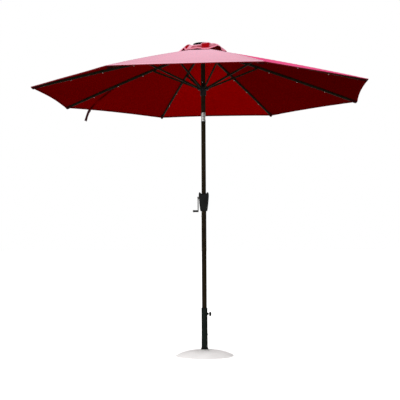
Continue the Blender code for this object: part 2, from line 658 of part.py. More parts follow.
def panel_point(panel, radius, share, lift=0.0):
    """A point of the canopy's top face, share of the way from one rib to the next."""
    ends = []
    for k in (panel, panel + 1):
        azimuth = FIRST_RIB + k * RIB_STEP
        ends.append(Vector((radius * math.cos(azimuth), radius * math.sin(azimuth), 0)))
    across = ends[0].lerp(ends[1], share)
    middle = FIRST_RIB + (panel + 0.5) * RIB_STEP
    bow = 4 * share * (1 - share)
    pull = SCALLOP * bow * (radius / CANOPY_RADIUS) ** 3
    across -= pull * Vector((math.cos(middle), math.sin(middle), 0))
    across.z = fabric_z(radius) + pull * (SLOPE + 2 * BEND * radius) + lift
    return across


def ring_skin(outer_rings, inner_rings):
    """Closed skin between an upper and a lower set of rings."""
    mesh = bmesh.new()
    loop = outer_rings + inner_rings[::-1]
    made = [[mesh.verts.new(p) for p in ring] for ring in loop]
    for n, here in enumerate(made):
        there = made[(n + 1) % len(made)]
        for i in range(len(here)):
            j = (i + 1) % len(here)
            mesh.faces.new((here[i], here[j], there[j], there[i]))
    bmesh.ops.recalc_face_normals(mesh, faces=mesh.faces)
    return mesh


def make_canopy(cloth, frame):
    across, along = 4, 6
    top, under = [], []
    for i in range(along + 1):
        radius = VENT_HOLE + (CANOPY_RADIUS - VENT_HOLE) * i / along
        shares = [(k, n / across) for k in range(RIB_COUNT) for n in range(across)]
        top.append([panel_point(k, radius, share) for k, share in shares])
        under.append([p - Vector((0, 0, FABRIC)) for p in top[-1]])
    add("canopy", ring_skin(top, under), cloth, parent=frame)


def vent_z(radius):
    """Height of the vent cap's top face over a rib."""
    rim = fabric_z(VENT_RADIUS) + VENT_RIM_LIFT
    share = (radius - VENT_SHOULDER) / (VENT_RADIUS - VENT_SHOULDER)
    if share > 0:
        return VENT_SHOULDER_Z + (rim - VENT_SHOULDER_Z) * share**1.3
    inner = (VENT_SHOULDER - radius) / (VENT_SHOULDER - VENT_NECK)
    return VENT_SHOULDER_Z + (VENT_TOP_Z - VENT_SHOULDER_Z) * math.sin(inner * math.pi / 2)


def make_vent(cloth, frame):
    across, along = 3, 5
    top, under = [], []
    for i in range(along + 1):
        radius = VENT_NECK + (VENT_RADIUS - VENT_NECK) * i / along
        ring = []
        for k in range(RIB_COUNT):
            for n in range(across):
                azimuth = FIRST_RIB + (k + n / across) * RIB_STEP
                flat = math.cos(RIB_STEP / 2) / math.cos(RIB_STEP * (n / across - 0.5))
                reach = radius * (1 + (flat - 1) * i / along)
                x, y = reach * math.cos(azimuth), reach * math.sin(azimuth)
                ring.append(Vector((x, y, vent_z(radius))))
        top.append(ring)
        under.append([p - Vector((0, 0, FABRIC)) for p in ring])
    add("vent_cap", ring_skin(top, under), cloth, parent=frame)


def strap_share(radius):
    """How far across its panel the strap lies at a radius."""
    share = STRAP_ROUTE[-1][1]
    for (near, before), (far, after) in zip(STRAP_ROUTE, STRAP_ROUTE[1:]):
        if near <= radius < far:
            share = before + (after - before) * (radius - near) / (far - near)
    return share


def make_strap(cloth, frame):
    """Tie strap: over the panel from beside one rib to the rim, then hanging down aslant."""
    on_panel = 8
    start, end = STRAP_ROUTE[0][0], STRAP_ROUTE[-1][0]
    route = []
    for i in range(on_panel + 1):
        radius = start + (end - start) * i / on_panel
        route.append(panel_point(STRAP_PANEL, radius, strap_share(radius), STRAP_LIFT))
    ahead = route[-1] - route[0]
    ahead.z = 0
    ahead.normalize()
    side = Vector((0, 0, 1)).cross(ahead)
    for angle in (30, 60, 90):
        turn = math.radians(angle)
        fall = Vector((0, 0, STRAP_BEND * (1 - math.cos(turn))))
        route.append(route[on_panel] + ahead * STRAP_BEND * math.sin(turn) - fall)
    last = route[-1]
    for i in (1, 2, 3):
        drop = (STRAP_HANG - STRAP_BEND) * i / 3
        route.append(last + side * STRAP_SWAY * (i / 3) ** 0.7 - Vector((0, 0, drop)))
    rings = []
    for i, point in enumerate(route):
        along = (route[min(i + 1, len(route) - 1)] - route[max(i - 1, 0)]).normalized()
        face = along.cross(side).normalized() * STRAP_THICKNESS / 2
        edge = face.cross(along).normalized() * STRAP_WIDTH / 2
        near, far = point - edge, point + edge
        rings.append([near - face, far - face, far + face, near + face])
    add("tie_strap", loft(rings), cloth, parent=frame)


def main():
    clear_scene()
    bronze = finish("bronze powder coat", (0.030, 0.028, 0.025), 0.38, 0.6)
    black = finish("black powder coat", (0.018, 0.020, 0.019), 0.42, 0.5)
    plastic = finish("black plastic", (0.020, 0.020, 0.022), 0.45, 0.0)
    alloy = finish("bare alloy", (0.62, 0.62, 0.60), 0.35, 1.0)
    steel = finish("zinc steel", (0.50, 0.50, 0.49), 0.35, 1.0)
    grey = finish("grey trim", (0.42, 0.42, 0.41), 0.5, 0.2)
    stone = finish("cast stone", (0.76, 0.73, 0.72), 0.75, 0.0)
    cloth = finish("red cloth", (0.33, 0.010, 0.014), 0.85, 0.0)
    glass = finish("solar glass", (0.03, 0.04, 0.07), 0.12, 0.0)
    make_base(stone, black, grey, steel, plastic)
    pole = axis_frame("pole_axis", (0, 0, FOOT_Z))
    make_poles(bronze, plastic, pole)
    make_housing(plastic, steel, pole)
    make_crank(steel, plastic, bronze, pole)
    upper = axis_frame("tilt_axis", (0, 0, TILT_Z), pole)
    make_tilt(alloy, steel, plastic, pole, upper)
    make_upper_pole(bronze, steel, upper)
    slider = axis_frame("runner_axis", (0, 0, RUNNER_PIVOT_Z), upper)
    make_runner(plastic, slider)
    make_hub(plastic, steel, glass, upper)
    make_cord(plastic, upper)
    ribs = make_ribs(bronze, upper)
    make_struts(bronze, ribs)
    make_canopy(cloth, upper)
    make_vent(cloth, upper)
    make_strap(cloth, upper)


main()
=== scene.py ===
"""Visual model of a market umbrella with its base. Metres, +Z up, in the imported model's frame."""

import json
import math

import bmesh
import bpy
import numpy as np
from mathutils import Matrix, Vector, noise

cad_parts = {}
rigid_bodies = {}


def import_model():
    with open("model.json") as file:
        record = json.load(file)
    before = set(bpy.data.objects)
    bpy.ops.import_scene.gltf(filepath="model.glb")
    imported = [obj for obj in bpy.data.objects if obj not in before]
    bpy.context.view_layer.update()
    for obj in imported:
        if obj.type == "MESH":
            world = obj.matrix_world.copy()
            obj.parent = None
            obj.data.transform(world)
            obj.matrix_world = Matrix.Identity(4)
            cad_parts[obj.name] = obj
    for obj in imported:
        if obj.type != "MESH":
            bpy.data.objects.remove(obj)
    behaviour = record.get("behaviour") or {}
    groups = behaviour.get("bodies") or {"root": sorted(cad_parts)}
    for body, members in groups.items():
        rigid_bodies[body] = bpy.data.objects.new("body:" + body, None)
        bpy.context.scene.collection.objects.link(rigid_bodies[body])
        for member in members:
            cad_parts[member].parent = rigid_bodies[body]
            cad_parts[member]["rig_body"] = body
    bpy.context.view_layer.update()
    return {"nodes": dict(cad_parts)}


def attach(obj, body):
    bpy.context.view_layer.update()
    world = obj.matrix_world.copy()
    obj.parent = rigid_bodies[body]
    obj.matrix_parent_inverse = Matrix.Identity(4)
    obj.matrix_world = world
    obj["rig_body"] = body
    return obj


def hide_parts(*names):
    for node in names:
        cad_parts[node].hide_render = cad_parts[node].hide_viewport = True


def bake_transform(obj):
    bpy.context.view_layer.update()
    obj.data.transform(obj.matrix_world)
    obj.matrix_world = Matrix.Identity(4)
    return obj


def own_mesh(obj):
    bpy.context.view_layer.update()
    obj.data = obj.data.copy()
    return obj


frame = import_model()

# Dimensions repeated from the CAD source
RIBS = 8
STEP = 2 * math.pi / RIBS
FIRST = STEP / 2
GAP = 0.0003
CANOPY_RADIUS = 1.35
CROWN_Z = 2.429
SLOPE = 0.244
BEND = 0.0214
SCALLOP = 0.014
FABRIC = 0.0012
VENT_HOLE = 0.165
VENT_RADIUS = 0.210
VENT_NECK = 0.0465
VENT_TOP_Z = 2.4465
VENT_SHOULDER = 0.145
VENT_SHOULDER_Z = 2.434
VENT_RIM_LIFT = 0.007
RIB_DROP = 0.0125
RIB_HEIGHT = 0.018
RIB_TIP = 1.335
HUB_PIVOT = 0.033
BRACKET_RADIUS = 0.448
BRACKET_DROP = 0.0175
RUNNER_Z = 2.108
BASE_RADIUS = 0.227
BASE_TOP = 0.095
BASE_HEIGHT = 0.044
BASE_EDGE = 0.006
TUBE_OUTER = 0.024
TUBE_INNER = 0.0215
TUBE_TOP_Z = 0.371
TUBE_FOOT_Z = 0.0223
CLAMP_Z = 0.329
RIVET_Z = 0.168
LOWER_POLE = 0.019
POLE = 0.0175
POLE_INNER = 0.016
LOWER_POLE_INNER = 0.0178
TILT_GAP = 0.035
POLE_OVERLAP = 0.090
FOOT_Z = 0.0303
SPLIT_Z = 1.133
SNAP_Z = 1.093
TILT_Z = 1.880
POLE_TOP_Z = 2.3997
STOP_RIVET_Z = 2.156
STOP_RIVET_TURN = math.radians(255)
SOLAR_FOOT_Z = 2.4238
SOLAR_FLANGE_Z = 2.451
CRANK_Z = 1.240
CRANK_LENGTH = 0.105
CORD_Y = 0.0213
CORD_TOP_Z = 2.411
LAMP_RADII = (0.5644, 0.8076, 1.0527)

# Tie strap: (radius, share across the panel) along its route over one panel
STRAP_PANEL = 2
STRAP_ROUTE = ((0.80, 0.985), (0.90, 0.935), (1.06, 0.870), (1.20, 0.825), (1.354, 0.760))
STRAP_WIDTH = 0.025
STRAP_LIFT = 0.003
STRAP_BEND = 0.012
STRAP_HANG = 0.108
STRAP_SWAY = 0.040
STRAP_TWIST_START = 0.50
STRAP_TWIST_SPAN = 0.42

ALONG_X = (1, 0, 0)
ALONG_MINUS_X = (-1, 0, 0)

UP = Vector((0, 0, 1))


# Small geometry helpers


def ease(value):
    """0 below 0, 1 above 1, and a smooth rise between."""
    value = min(max(value, 0.0), 1.0)
    return value * value * (3 - 2 * value)


def rib_angle(k):
    """Azimuth of rib k, counted from 1."""
    return FIRST + (k - 1) * STEP


def outward(azimuth):
    return Vector((math.cos(azimuth), math.sin(azimuth), 0))


def fabric_z(radius):
    """Height of the fabric's top face over a rib."""
    return CROWN_Z - SLOPE * radius - BEND * radius * radius


def along_axis(axis):
    """Rotation that takes +Z to an axis."""
    return UP.rotation_difference(Vector(axis)).to_matrix().to_4x4()


def rounded(outline, radius=0.001, steps=3):
    """The closed outline with its corners rounded off, apart from points on the axis."""
    points = []
    for i, corner in enumerate(outline):
        here = Vector(corner)
        back = Vector(outline[i - 1]) - here
        ahead = Vector(outline[(i + 1) % len(outline)]) - here
        cut = min(radius, 0.45 * back.length, 0.45 * ahead.length)
        if corner[0] == 0 or cut < 1e-5 or back.angle(ahead) > math.radians(170):
            points.append(tuple(corner))
            continue
        start, end = here + back.normalized() * cut, here + ahead.normalized() * cut
        for n in range(steps + 1):
            t = n / steps
            points.append(tuple(start * (1 - t) ** 2 + here * 2 * t * (1 - t) + end * t * t))
    return points


def lathe(outline, sides=64, swell=None):
    """Turn a closed (radius, z) outline about +Z."""
    mesh = bmesh.new()
    columns = []
    for i in range(sides):
        angle = 2 * math.pi * i / sides
        column = []
        for n, (radius, z) in enumerate(outline):
            if radius == 0 and i:
                column.append(columns[0][n])
                continue
            r = swell(radius, angle, z) if swell else radius
            column.append(mesh.verts.new((r * math.cos(angle), r * math.sin(angle), z)))
        columns.append(column)
    for i in range(sides):
        here, there = columns[i], columns[(i + 1) % sides]
        for n in range(len(outline)):
            m = (n + 1) % len(outline)
            unique = list(dict.fromkeys([here[n], there[n], there[m], here[m]]))
            if len(unique) > 2:
                mesh.faces.new(unique)
    bmesh.ops.recalc_face_normals(mesh, faces=mesh.faces)
    return mesh


def loft(rings, closed=False):
    """Skin through rings of equal point count, capped at both ends unless it closes on itself."""
    mesh = bmesh.new()
    made = [[mesh.verts.new(p) for p in ring] for ring in rings]
    pairs = list(zip(made, made[1:]))
    if closed:
        pairs.append((made[-1], made[0]))
    for here, there in pairs:
        for i in range(len(here)):
            j = (i + 1) % len(here)
            mesh.faces.new((here[i], here[j], there[j], there[i]))
    if not closed:
        mesh.faces.new(made[0])
        mesh.faces.new(made[-1])
    bmesh.ops.recalc_face_normals(mesh, faces=mesh.faces)
    return mesh


def moved(mesh, matrix):
    bmesh.ops.transform(mesh, matrix=matrix, verts=mesh.verts)
    return mesh


def turned(mesh, axis, at=(0, 0, 0)):
    """The mesh with its +Z along an axis, moved to a place."""
    return moved(mesh, Matrix.Translation(at) @ along_axis(axis))


def joined(meshes):
    """Several meshes as one."""
    whole = bmesh.new()
    for mesh in meshes:
        part = bpy.data.meshes.new("part")
        mesh.to_mesh(part)
        mesh.free()
        whole.from_mesh(part)
        bpy.data.meshes.remove(part)
    return whole


def tube(path, radius, sides=10):
    """Round tube along a path, closed at both ends."""
    rings = []
    side = Vector((1, 0, 0))
    for i, point in enumerate(path):
        ahead = Vector(path[min(i + 1, len(path) - 1)]) - Vector(path[max(i - 1, 0)])
        ahead.normalize()
        side = (side - ahead * side.dot(ahead)).normalized()
        other = ahead.cross(side)
        ring = []
        for n in range(sides):
            angle = 2 * math.pi * n / sides
            ring.append(Vector(point) + radius * (side * math.cos(angle) + other * math.sin(angle)))
        rings.append(ring)
    return loft(rings)


def dome(radius, height, steps=4):
    """Outline of a low domed head that sits on z = 0."""
    points = [(0, 0)]
    for n in range(steps + 1):
        angle = math.pi / 2 * n / steps
        points.append((radius * math.cos(angle) if n < steps else 0, height * math.sin(angle)))
    return points


# Pieces


def piece(name, mesh, look, body, stands_for=(), smooth=40):
    """Make an object from a mesh and let it ride on a body."""
    data = bpy.data.meshes.new(name)
    mesh.to_mesh(data)
    mesh.free()
    made = bpy.data.objects.new(name, data)
    bpy.context.scene.collection.objects.link(made)
    data.materials.append(look)
    data.shade_smooth()
    data.set_sharp_from_angle(angle=math.radians(smooth))
    if body:
        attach(made, body)
    if stands_for:
        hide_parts(*stands_for)
    return made


def cut(made, tools):
    """Take closed meshes away from a piece."""
    for tool in tools:
        data = bpy.data.meshes.new("tool")
        tool.to_mesh(data)
        tool.free()
        other = bpy.data.objects.new("tool", data)
        bpy.context.scene.collection.objects.link(other)
        step = made.modifiers.new("cut", "BOOLEAN")
        step.operation = "DIFFERENCE"
        step.solver = "EXACT"
        step.object = other
        bpy.context.view_layer.update()
        done = made.evaluated_get(bpy.context.evaluated_depsgraph_get())
        baked = bpy.data.meshes.new_from_object(done)
        made.modifiers.clear()
        made.data = baked
        bpy.data.objects.remove(other)
    made.data.shade_smooth()
    made.data.set_sharp_from_angle(angle=math.radians(35))
    return made


def refined(name, node, look, bevel=0.0005, segments=2):
    """A CAD node's own shape with its edges rounded over and its facets smoothed."""
    source = frame["nodes"][node]
    mesh = bmesh.new()
    mesh.from_mesh(source.data)
    bmesh.ops.remove_doubles(mesh, verts=mesh.verts, dist=1e-5)
    flat = math.radians(0.5)
    bmesh.ops.dissolve_limit(mesh, angle_limit=flat, verts=mesh.verts, edges=mesh.edges)
    made = piece(name, mesh, look, source["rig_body"], [node], 35)
    if bevel:
        edge = made.modifiers.new("edges", "BEVEL")
        edge.width = bevel
        edge.segments = segments
        edge.limit_method = "ANGLE"
        edge.angle_limit = math.radians(35)
        edge.harden_normals = True
    return made


# Materials


class Look:
    """A material built from nodes, with short ways to add and join them."""

    def __init__(self, name, roughness=0.5, metallic=0.0, specular=0.5):
        self.material = bpy.data.materials.new(name)
        self.material.use_nodes = True
        self.tree = self.material.node_tree
        self.shader = self.tree.nodes["Principled BSDF"]
        self.output = self.tree.nodes["Material Output"]
        self.shader.inputs["Roughness"].default_value = roughness
        self.shader.inputs["Metallic"].default_value = metallic
        self.shader.inputs["Specular IOR Level"].default_value = specular

    def node(self, kind, settings=None, **inputs):
        made = self.tree.nodes.new(kind)
        for name, value in (settings or {}).items():
            setattr(made, name, value)
        for name, value in inputs.items():
            self.set(made.inputs[name.replace("_", " ")], value)
        return made

    def set(self, socket, value):
        if isinstance(value, bpy.types.NodeSocket):
            self.tree.links.new(value, socket)
        else:
            socket.default_value = value

    def place(self, stretch=(1, 1, 1), kind="Object"):
        """Coordinates in metres, stretched."""
        coords = self.node("ShaderNodeTexCoord")
        mapping = self.node("ShaderNodeMapping", Scale=stretch, Vector=coords.outputs[kind])
        return mapping.outputs["Vector"]

    def noise(self, scale, detail=3.0, rough=0.55, vector=None):
        made = self.node("ShaderNodeTexNoise", Scale=scale, Detail=detail, Roughness=rough)
        self.set(made.inputs["Vector"], vector or self.place())
        return made.outputs["Fac"]

    def ramp(self, value, stops, stepped=False):
        made = self.node("ShaderNodeValToRGB", Fac=value)
        ramp = made.color_ramp
        ramp.interpolation = "CONSTANT" if stepped else "LINEAR"
        while len(ramp.elements) < len(stops):
            ramp.elements.new(0.5)
        for element, (place, colour) in zip(ramp.elements, stops):
            element.position = place
            shade = (colour,) * 3 if isinstance(colour, (int, float)) else colour
            element.color = (*shade, 1)
        return made.outputs["Color"]

    def flat(self):
        """Flat cloth coordinates in metres, whole and as separate X and Y."""
        uv = self.node("ShaderNodeUVMap").outputs["UV"]
        split = self.node("ShaderNodeSeparateXYZ", Vector=uv)
        return uv, split.outputs["X"], split.outputs["Y"]

    def wave(self, value, pitch):
        return self.math("SINE", self.math("MULTIPLY", value, 2 * math.pi / pitch))

    def math(self, operation, a, b=0.0):
        made = self.node("ShaderNodeMath", {"operation": operation})
        self.set(made.inputs[0], a)
        self.set(made.inputs[1], b)
        return made.outputs[0]

    def mix(self, share, a, b, how="MIX"):
        made = self.node("ShaderNodeMix", {"data_type": "RGBA", "blend_type": how})
        self.set(made.inputs[0], share)
        self.set(made.inputs[6], (*a, 1) if isinstance(a, tuple) else a)
        self.set(made.inputs[7], (*b, 1) if isinstance(b, tuple) else b)
        return made.outputs[2]

    def bump(self, height, distance, strength=1.0, under=None):
        made = self.node("ShaderNodeBump", Strength=strength, Distance=distance, Height=height)
        if under:
            self.set(made.inputs["Normal"], under)
        return made.outputs["Normal"]

    def finish(self, colour=None, roughness=None, normal=None):
        for name, value in (("Base Color", colour), ("Roughness", roughness), ("Normal", normal)):
            if value is not None:
                if name == "Base Color" and isinstance(value, tuple):
                    value = (*value, 1)
                self.set(self.shader.inputs[name], value)
        return self.material


THREAD_PITCH = 0.0022
# Facing at which the painted sheen starts and is full
SHEEN_PAINT_START, SHEEN_PAINT_FULL = 0.66, 0.93


def coat(name, dark, light, roughness, specular, tint):
    """Powder coat: orange peel, faint mottling, dust and rubbed patches."""
    look = Look(name, roughness, 0.0, specular)
    look.shader.inputs["Specular Tint"].default_value = (*tint, 1)
    mottle = look.noise(35.0, 4.0)
    colour = look.ramp(mottle, [(0.35, dark), (0.72, light)])
    shine = look.ramp(look.noise(90.0, 3.0), [(0.3, roughness - 0.08), (0.7, roughness + 0.12)])
    peel = look.bump(look.noise(900.0, 2.0), 0.00012, 0.5)
    return look.finish(colour, shine, peel)


def plastic(name, dark, light, roughness, specular=0.35):
    """Moulded plastic: fine spark texture with smoother rubbed areas."""
    look = Look(name, roughness, 0.0, specular)
    colour = look.ramp(look.noise(22.0, 3.0), [(0.3, dark), (0.75, light)])
    shine = look.ramp(look.noise(60.0, 3.0), [(0.3, roughness - 0.1), (0.75, roughness + 0.1)])
    grain = look.bump(look.noise(2200.0, 2.0), 0.00006, 0.6)
    return look.finish(colour, shine, grain)


def metal(name, colour, roughness, stretch=(400, 400, 30)):
    """Bare metal with drawn brushing along Z and faint staining."""
    look = Look(name, roughness, 1.0)
    brushed = look.noise(1.0, 3.0, 0.6, look.place(stretch))
    stain = look.noise(45.0, 4.0)
    deep = tuple(c * 0.72 for c in colour)
    tint = look.ramp(stain, [(0.3, deep), (0.65, colour)])
    shine = look.ramp(brushed, [(0.3, roughness - 0.1), (0.7, roughness + 0.14)])
    return look.finish(tint, shine, look.bump(brushed, 0.00005, 0.5))


def stone_look():
    """Pale cast cement: fine sand, scattered dark grains, pinholes and faint clouding."""
    look = Look("pale_cement", 0.82, 0.0, 0.3)
    cloud = look.ramp(look.noise(9.0, 5.0), [(0.3, (0.86, 0.848, 0.840)), (0.7, (0.93, 0.918, 0.910))])
    sand = look.ramp(look.noise(700.0, 3.0, 0.7), [(0.32, 0.89), (0.66, 1.0)])
    colour = look.mix(1.0, cloud, sand, "MULTIPLY")
    grains = look.node("ShaderNodeTexVoronoi", Scale=260.0, Vector=look.place())
    dots = look.ramp(grains.outputs["Distance"], [(0.10, 0.30), (0.20, 1.0)])
    few = look.ramp(look.noise(120.0, 2.0), [(0.52, 0.0), (0.60, 1.0)])
    colour = look.mix(look.math("MULTIPLY", few, 0.75), colour, dots, "MULTIPLY")
    pits = look.node("ShaderNodeTexVoronoi", Scale=95.0, Vector=look.place())
    hole = look.ramp(pits.outputs["Distance"], [(0.04, 0.0), (0.12, 1.0)])
    fine = look.bump(look.noise(500.0, 4.0, 0.7), 0.0004, 0.45)
    return look.finish(colour, None, look.bump(hole, 0.0005, 0.5, fine))


def weave(look, pitch):
    """Height of a plain weave of threads, in flat cloth coordinates."""
    flat, across, along = look.flat()
    return look.math("MULTIPLY", look.wave(across, pitch), look.wave(along, pitch)), flat


def by_panel(look, values):
    """A grey level for each panel of the canopy, by azimuth round the pole."""
    around = look.node("ShaderNodeTexGradient", {"gradient_type": "RADIAL"}, Vector=look.place())
    stops = [(0.0, values[RIBS // 2 - 1])]
    stops += [((n + 0.5) / RIBS, values[(n + RIBS // 2) % RIBS]) for n in range(RIBS)]
    return look.ramp(around.outputs["Fac"], stops, True)


def cloth(name, deep, pale, glow, glow_share, sheen_paint=None, start=None, full=None, panel_shades=None):
    """Woven canopy cloth: weave, slubs, fading, a painted sheen that turns it pale at a flat angle, and
    light let through.

    The grey levels by panel give how light each panel is against the lightest, scaling its colour and the
    light it lets through: painted light and shade.
    """
    look = Look(name, 0.9, 0.0, 0.0)
    threads, flat = weave(look, THREAD_PITCH)
    fade = look.noise(2.3, 4.0, 0.6)
    colour = look.ramp(fade, [(0.30, deep), (0.72, pale)])
    slub = look.node("ShaderNodeMapping", Scale=(9.0, 420.0, 1.0), Vector=flat).outputs["Vector"]
    streak = look.ramp(look.noise(1.0, 2.0, 0.5, slub), [(0.3, 0.86), (0.7, 1.0)])
    colour = look.mix(1.0, colour, streak, "MULTIPLY")
    # Painted sheen: the base colour turns pale at a flat angle.
    if sheen_paint:
        colour = add_sheen_paint(look, colour, sheen_paint, start or SHEEN_PAINT_START, full or SHEEN_PAINT_FULL)
    tint = (*glow, 1)
    # Painted light and shade by panel: each panel's colour and the light it lets through are scaled by its
    # grey level.
    if panel_shades:
        depth = by_panel(look, panel_shades)
        colour = look.mix(1.0, colour, depth, "MULTIPLY")
        tint = look.mix(1.0, glow, depth, "MULTIPLY")
    crumple = look.bump(look.noise(14.0, 3.0, 0.5), 0.0012, 0.5)
    normal = look.bump(threads, 0.00025, 0.35, crumple)
    look.finish(colour, None, normal)
    through = look.node("ShaderNodeBsdfTranslucent", Color=tint)
    both = look.node("ShaderNodeMixShader", Fac=glow_share)
    look.set(both.inputs[1], look.shader.outputs[0])
    look.set(both.inputs[2], through.outputs[0])
    look.set(look.output.inputs["Surface"], both.outputs[0])
    return look.material


def add_sheen_paint(look, colour, sheen_paint, start, full):
    """Base colour that turns pale with the viewing angle, by Layer Weight's Facing: a painted sheen.

    The colour follows the camera, which is a known fault.
    """
    facing = look.node("ShaderNodeLayerWeight", Blend=0.5).outputs["Facing"]
    shade = sheen_paint(look) if callable(sheen_paint) else sheen_paint
    return look.mix(look.ramp(facing, [(start, 0.0), (full, 1.0)]), colour, shade)


def stitched(name, deep, pale, thread, lines, sheen_paint=None, pitch=0.0042):
    """Folded cloth with rows of stitches at distances (in metres) across the strip."""
    look = Look(name, 0.88, 0.0, 0.0)
    threads, _ = weave(look, THREAD_PITCH)
    _, across, along = look.flat()
    colour = look.ramp(look.noise(6.0, 4.0), [(0.3, deep), (0.7, pale)])
    dash = look.math("GREATER_THAN", look.wave(along, pitch), -0.35)
    rows = None
    for line in lines:
        away = look.math("ABSOLUTE", look.math("SUBTRACT", across, line))
        row = look.math("LESS_THAN", away, 0.0006)
        rows = look.math("ADD", rows, row) if rows else row
    stitch = look.math("MULTIPLY", rows, dash)
    colour = look.mix(stitch, colour, thread)
    # Painted sheen at a flat angle, as on the cloth.
    if sheen_paint:
        colour = add_sheen_paint(look, colour, sheen_paint, SHEEN_PAINT_START, SHEEN_PAINT_FULL)
    weave_bump = look.bump(threads, 0.0002, 0.35)
    return look.finish(colour, None, look.bump(stitch, 0.0005, 0.8, weave_bump))


def webbing_look():
    """Dark woven tie strap with edge cords and a ribbed face."""
    look = Look("strap_webbing", 0.8, 0.0, 0.15)
    _, across, along = look.flat()
    ribs, cords = look.wave(along, 0.0016), look.wave(across, 0.0024)
    height = look.math("ADD", ribs, look.math("MULTIPLY", cords, 0.5))
    stops = [(0.3, (0.020, 0.003, 0.004)), (0.7, (0.040, 0.006, 0.008))]
    colour = look.ramp(look.noise(40.0, 3.0), stops)
    return look.finish(colour, None, look.bump(height, 0.0003, 0.6))


def cord_look():
    """Braided cord: two sets of strands crossing round it."""
    look = Look("braided_cord", 0.75, 0.0, 0.2)
    _, across, along = look.flat()
    one, two = (look.wave(look.math(way, across, along), 0.0016) for way in ("ADD", "SUBTRACT"))
    strands = look.math("MAXIMUM", one, two)
    # Darker in the grooves between strands and lighter on their crowns: painted shade.
    colour = look.ramp(strands, [(0.2, (0.010, 0.010, 0.010)), (0.9, (0.055, 0.052, 0.048))])
    return look.finish(colour, None, look.bump(strands, 0.0002, 0.7))


def solar_look():
    """Solar cells under clear resin: dark squares between thin silver lines."""
    look = Look("solar_cells", 0.16, 0.0, 0.5)
    place = look.place()
    split = look.node("ShaderNodeSeparateXYZ", Vector=place)
    lines = None
    for name, pitch, width in (("X", 0.0125, 0.05), ("Y", 0.0250, 0.03), ("X", 0.0021, 0.10)):
        wave = look.math("FRACT", look.math("DIVIDE", split.outputs[name], pitch))
        line = look.math("LESS_THAN", wave, width)
        if width == 0.10:
            line = look.math("MULTIPLY", line, 0.35)
        lines = look.math("MAXIMUM", lines, line) if lines else line
    crystal = look.node("ShaderNodeTexVoronoi", Scale=160.0, Vector=place)
    cell = look.mix(crystal.outputs["Color"], (0.010, 0.016, 0.045), (0.022, 0.034, 0.085))
    colour = look.mix(lines, cell, (0.42, 0.43, 0.46))
    look.shader.inputs["Coat Weight"].default_value = 1.0
    look.shader.inputs["Coat Roughness"].default_value = 0.05
    return look.finish(colour, look.ramp(look.noise(30.0), [(0.3, 0.10), (0.8, 0.30)]))


def lens_look():
    """Milky moulded lamp lens with a warm core, whose colour also reads Facing (see bloomed)."""
    look = Look("lamp_lens", 0.28, 0.0, 0.5)
    facing = look.node("ShaderNodeLayerWeight", Blend=0.35).outputs["Facing"]
    core = look.ramp(facing, [(0.1, (0.26, 0.21, 0.17)), (0.7, (0.15, 0.12, 0.10))])
    look.shader.inputs["Subsurface Weight"].default_value = 0.3
    look.shader.inputs["Subsurface Scale"].default_value = 0.002
    return look.finish(core, look.ramp(look.noise(300.0), [(0.3, 0.2), (0.7, 0.4)]))


BRONZE = coat(
    "bronze_powder_coat", (0.0066, 0.0048, 0.0028), (0.0125, 0.0090, 0.0052), 0.50, 0.012, (0.80, 0.55, 0.30)
)
BLACK = coat(
    "black_powder_coat", (0.0050, 0.0070, 0.0062), (0.0090, 0.0115, 0.0100), 0.50, 0.012, (0.80, 0.90, 0.86)
)
PLASTIC = plastic("satin_black_plastic", (0.0050, 0.0050, 0.0048), (0.0090, 0.0090, 0.0088), 0.46, 0.02)
GREY = plastic("grey_ring_plastic", (0.34, 0.34, 0.33), (0.48, 0.48, 0.47), 0.48)
ALLOY = metal("bare_alloy", (0.30, 0.30, 0.29), 0.34)
COATED = metal("coated_alloy_casting", (0.20, 0.20, 0.19), 0.44)
STEEL = metal("zinc_plated_steel", (0.40, 0.40, 0.39), 0.38)
STONE = stone_look()
RED_DEEP, RED_PALE = (0.245, 0.0040, 0.0075), (0.310, 0.0075, 0.0130)
GLOW = (0.62, 0.0010, 0.0012)
# Colours of the painted sheen that the cloth's top takes at a flat angle.
PALE_SHEEN_PAINT = (0.92, 0.53, 0.66)
VIVID_SHEEN_PAINT = (0.92, 0.12, 0.31)
CAP_SHEEN_PAINT = (0.88, 0.42, 0.54)
# By panel from the right, round the back: how pale its painted sheen is, how strong that painted sheen is,
# and how light its underside is, as painted light and shade
PALE_SHEEN_PANELS = (0, 0, 0, 0, 0.1, 1, 0, 0)
SHEEN_STRENGTH_PANELS = (1, 1, 1, 1, 0.06, 1, 1, 1)
PANEL_SHADES = (0.46, 1.0, 0.66, 0.52, 0.45, 0.50, 0.40, 0.34)


def panel_sheen_paint(look):
    """Painted sheen of the top: chalky pale on the panel that faces the sun, vivid on the others."""
    colour = look.mix(by_panel(look, PALE_SHEEN_PANELS), VIVID_SHEEN_PAINT, PALE_SHEEN_PAINT)
    return look.mix(1.0, colour, by_panel(look, SHEEN_STRENGTH_PANELS), "MULTIPLY")


# The tops of the canopy and the vent cap take a painted sheen at a flat angle.
TOP = cloth("canopy_cloth_top", RED_DEEP, RED_PALE, GLOW, 0.40, panel_sheen_paint)
CAP = cloth("vent_cloth_top", RED_DEEP, RED_PALE, GLOW, 0.30, CAP_SHEEN_PAINT, 0.42, 0.78)
# Cloth of steep fold facets on the vent cap: a deeper red copy of the cap's cloth without its painted sheen,
# painted shade.
FOLD_SHADE = cloth("vent_cloth_fold_shade", (0.30, 0.0025, 0.0060), (0.36, 0.0040, 0.0090), GLOW, 0.30)
# The underside is a much darker copy of the top's cloth, painted shade; its colour and the light it lets
# through are also scaled by panel, painted light and shade.
UNDER_SHADED = cloth(
    "canopy_cloth_underside_shaded", (0.030, 0.0001, 0.0001), (0.045, 0.0002, 0.0002), GLOW, 0.60, panel_shades=PANEL_SHADES
)
THREAD = (0.42, 0.06, 0.07)
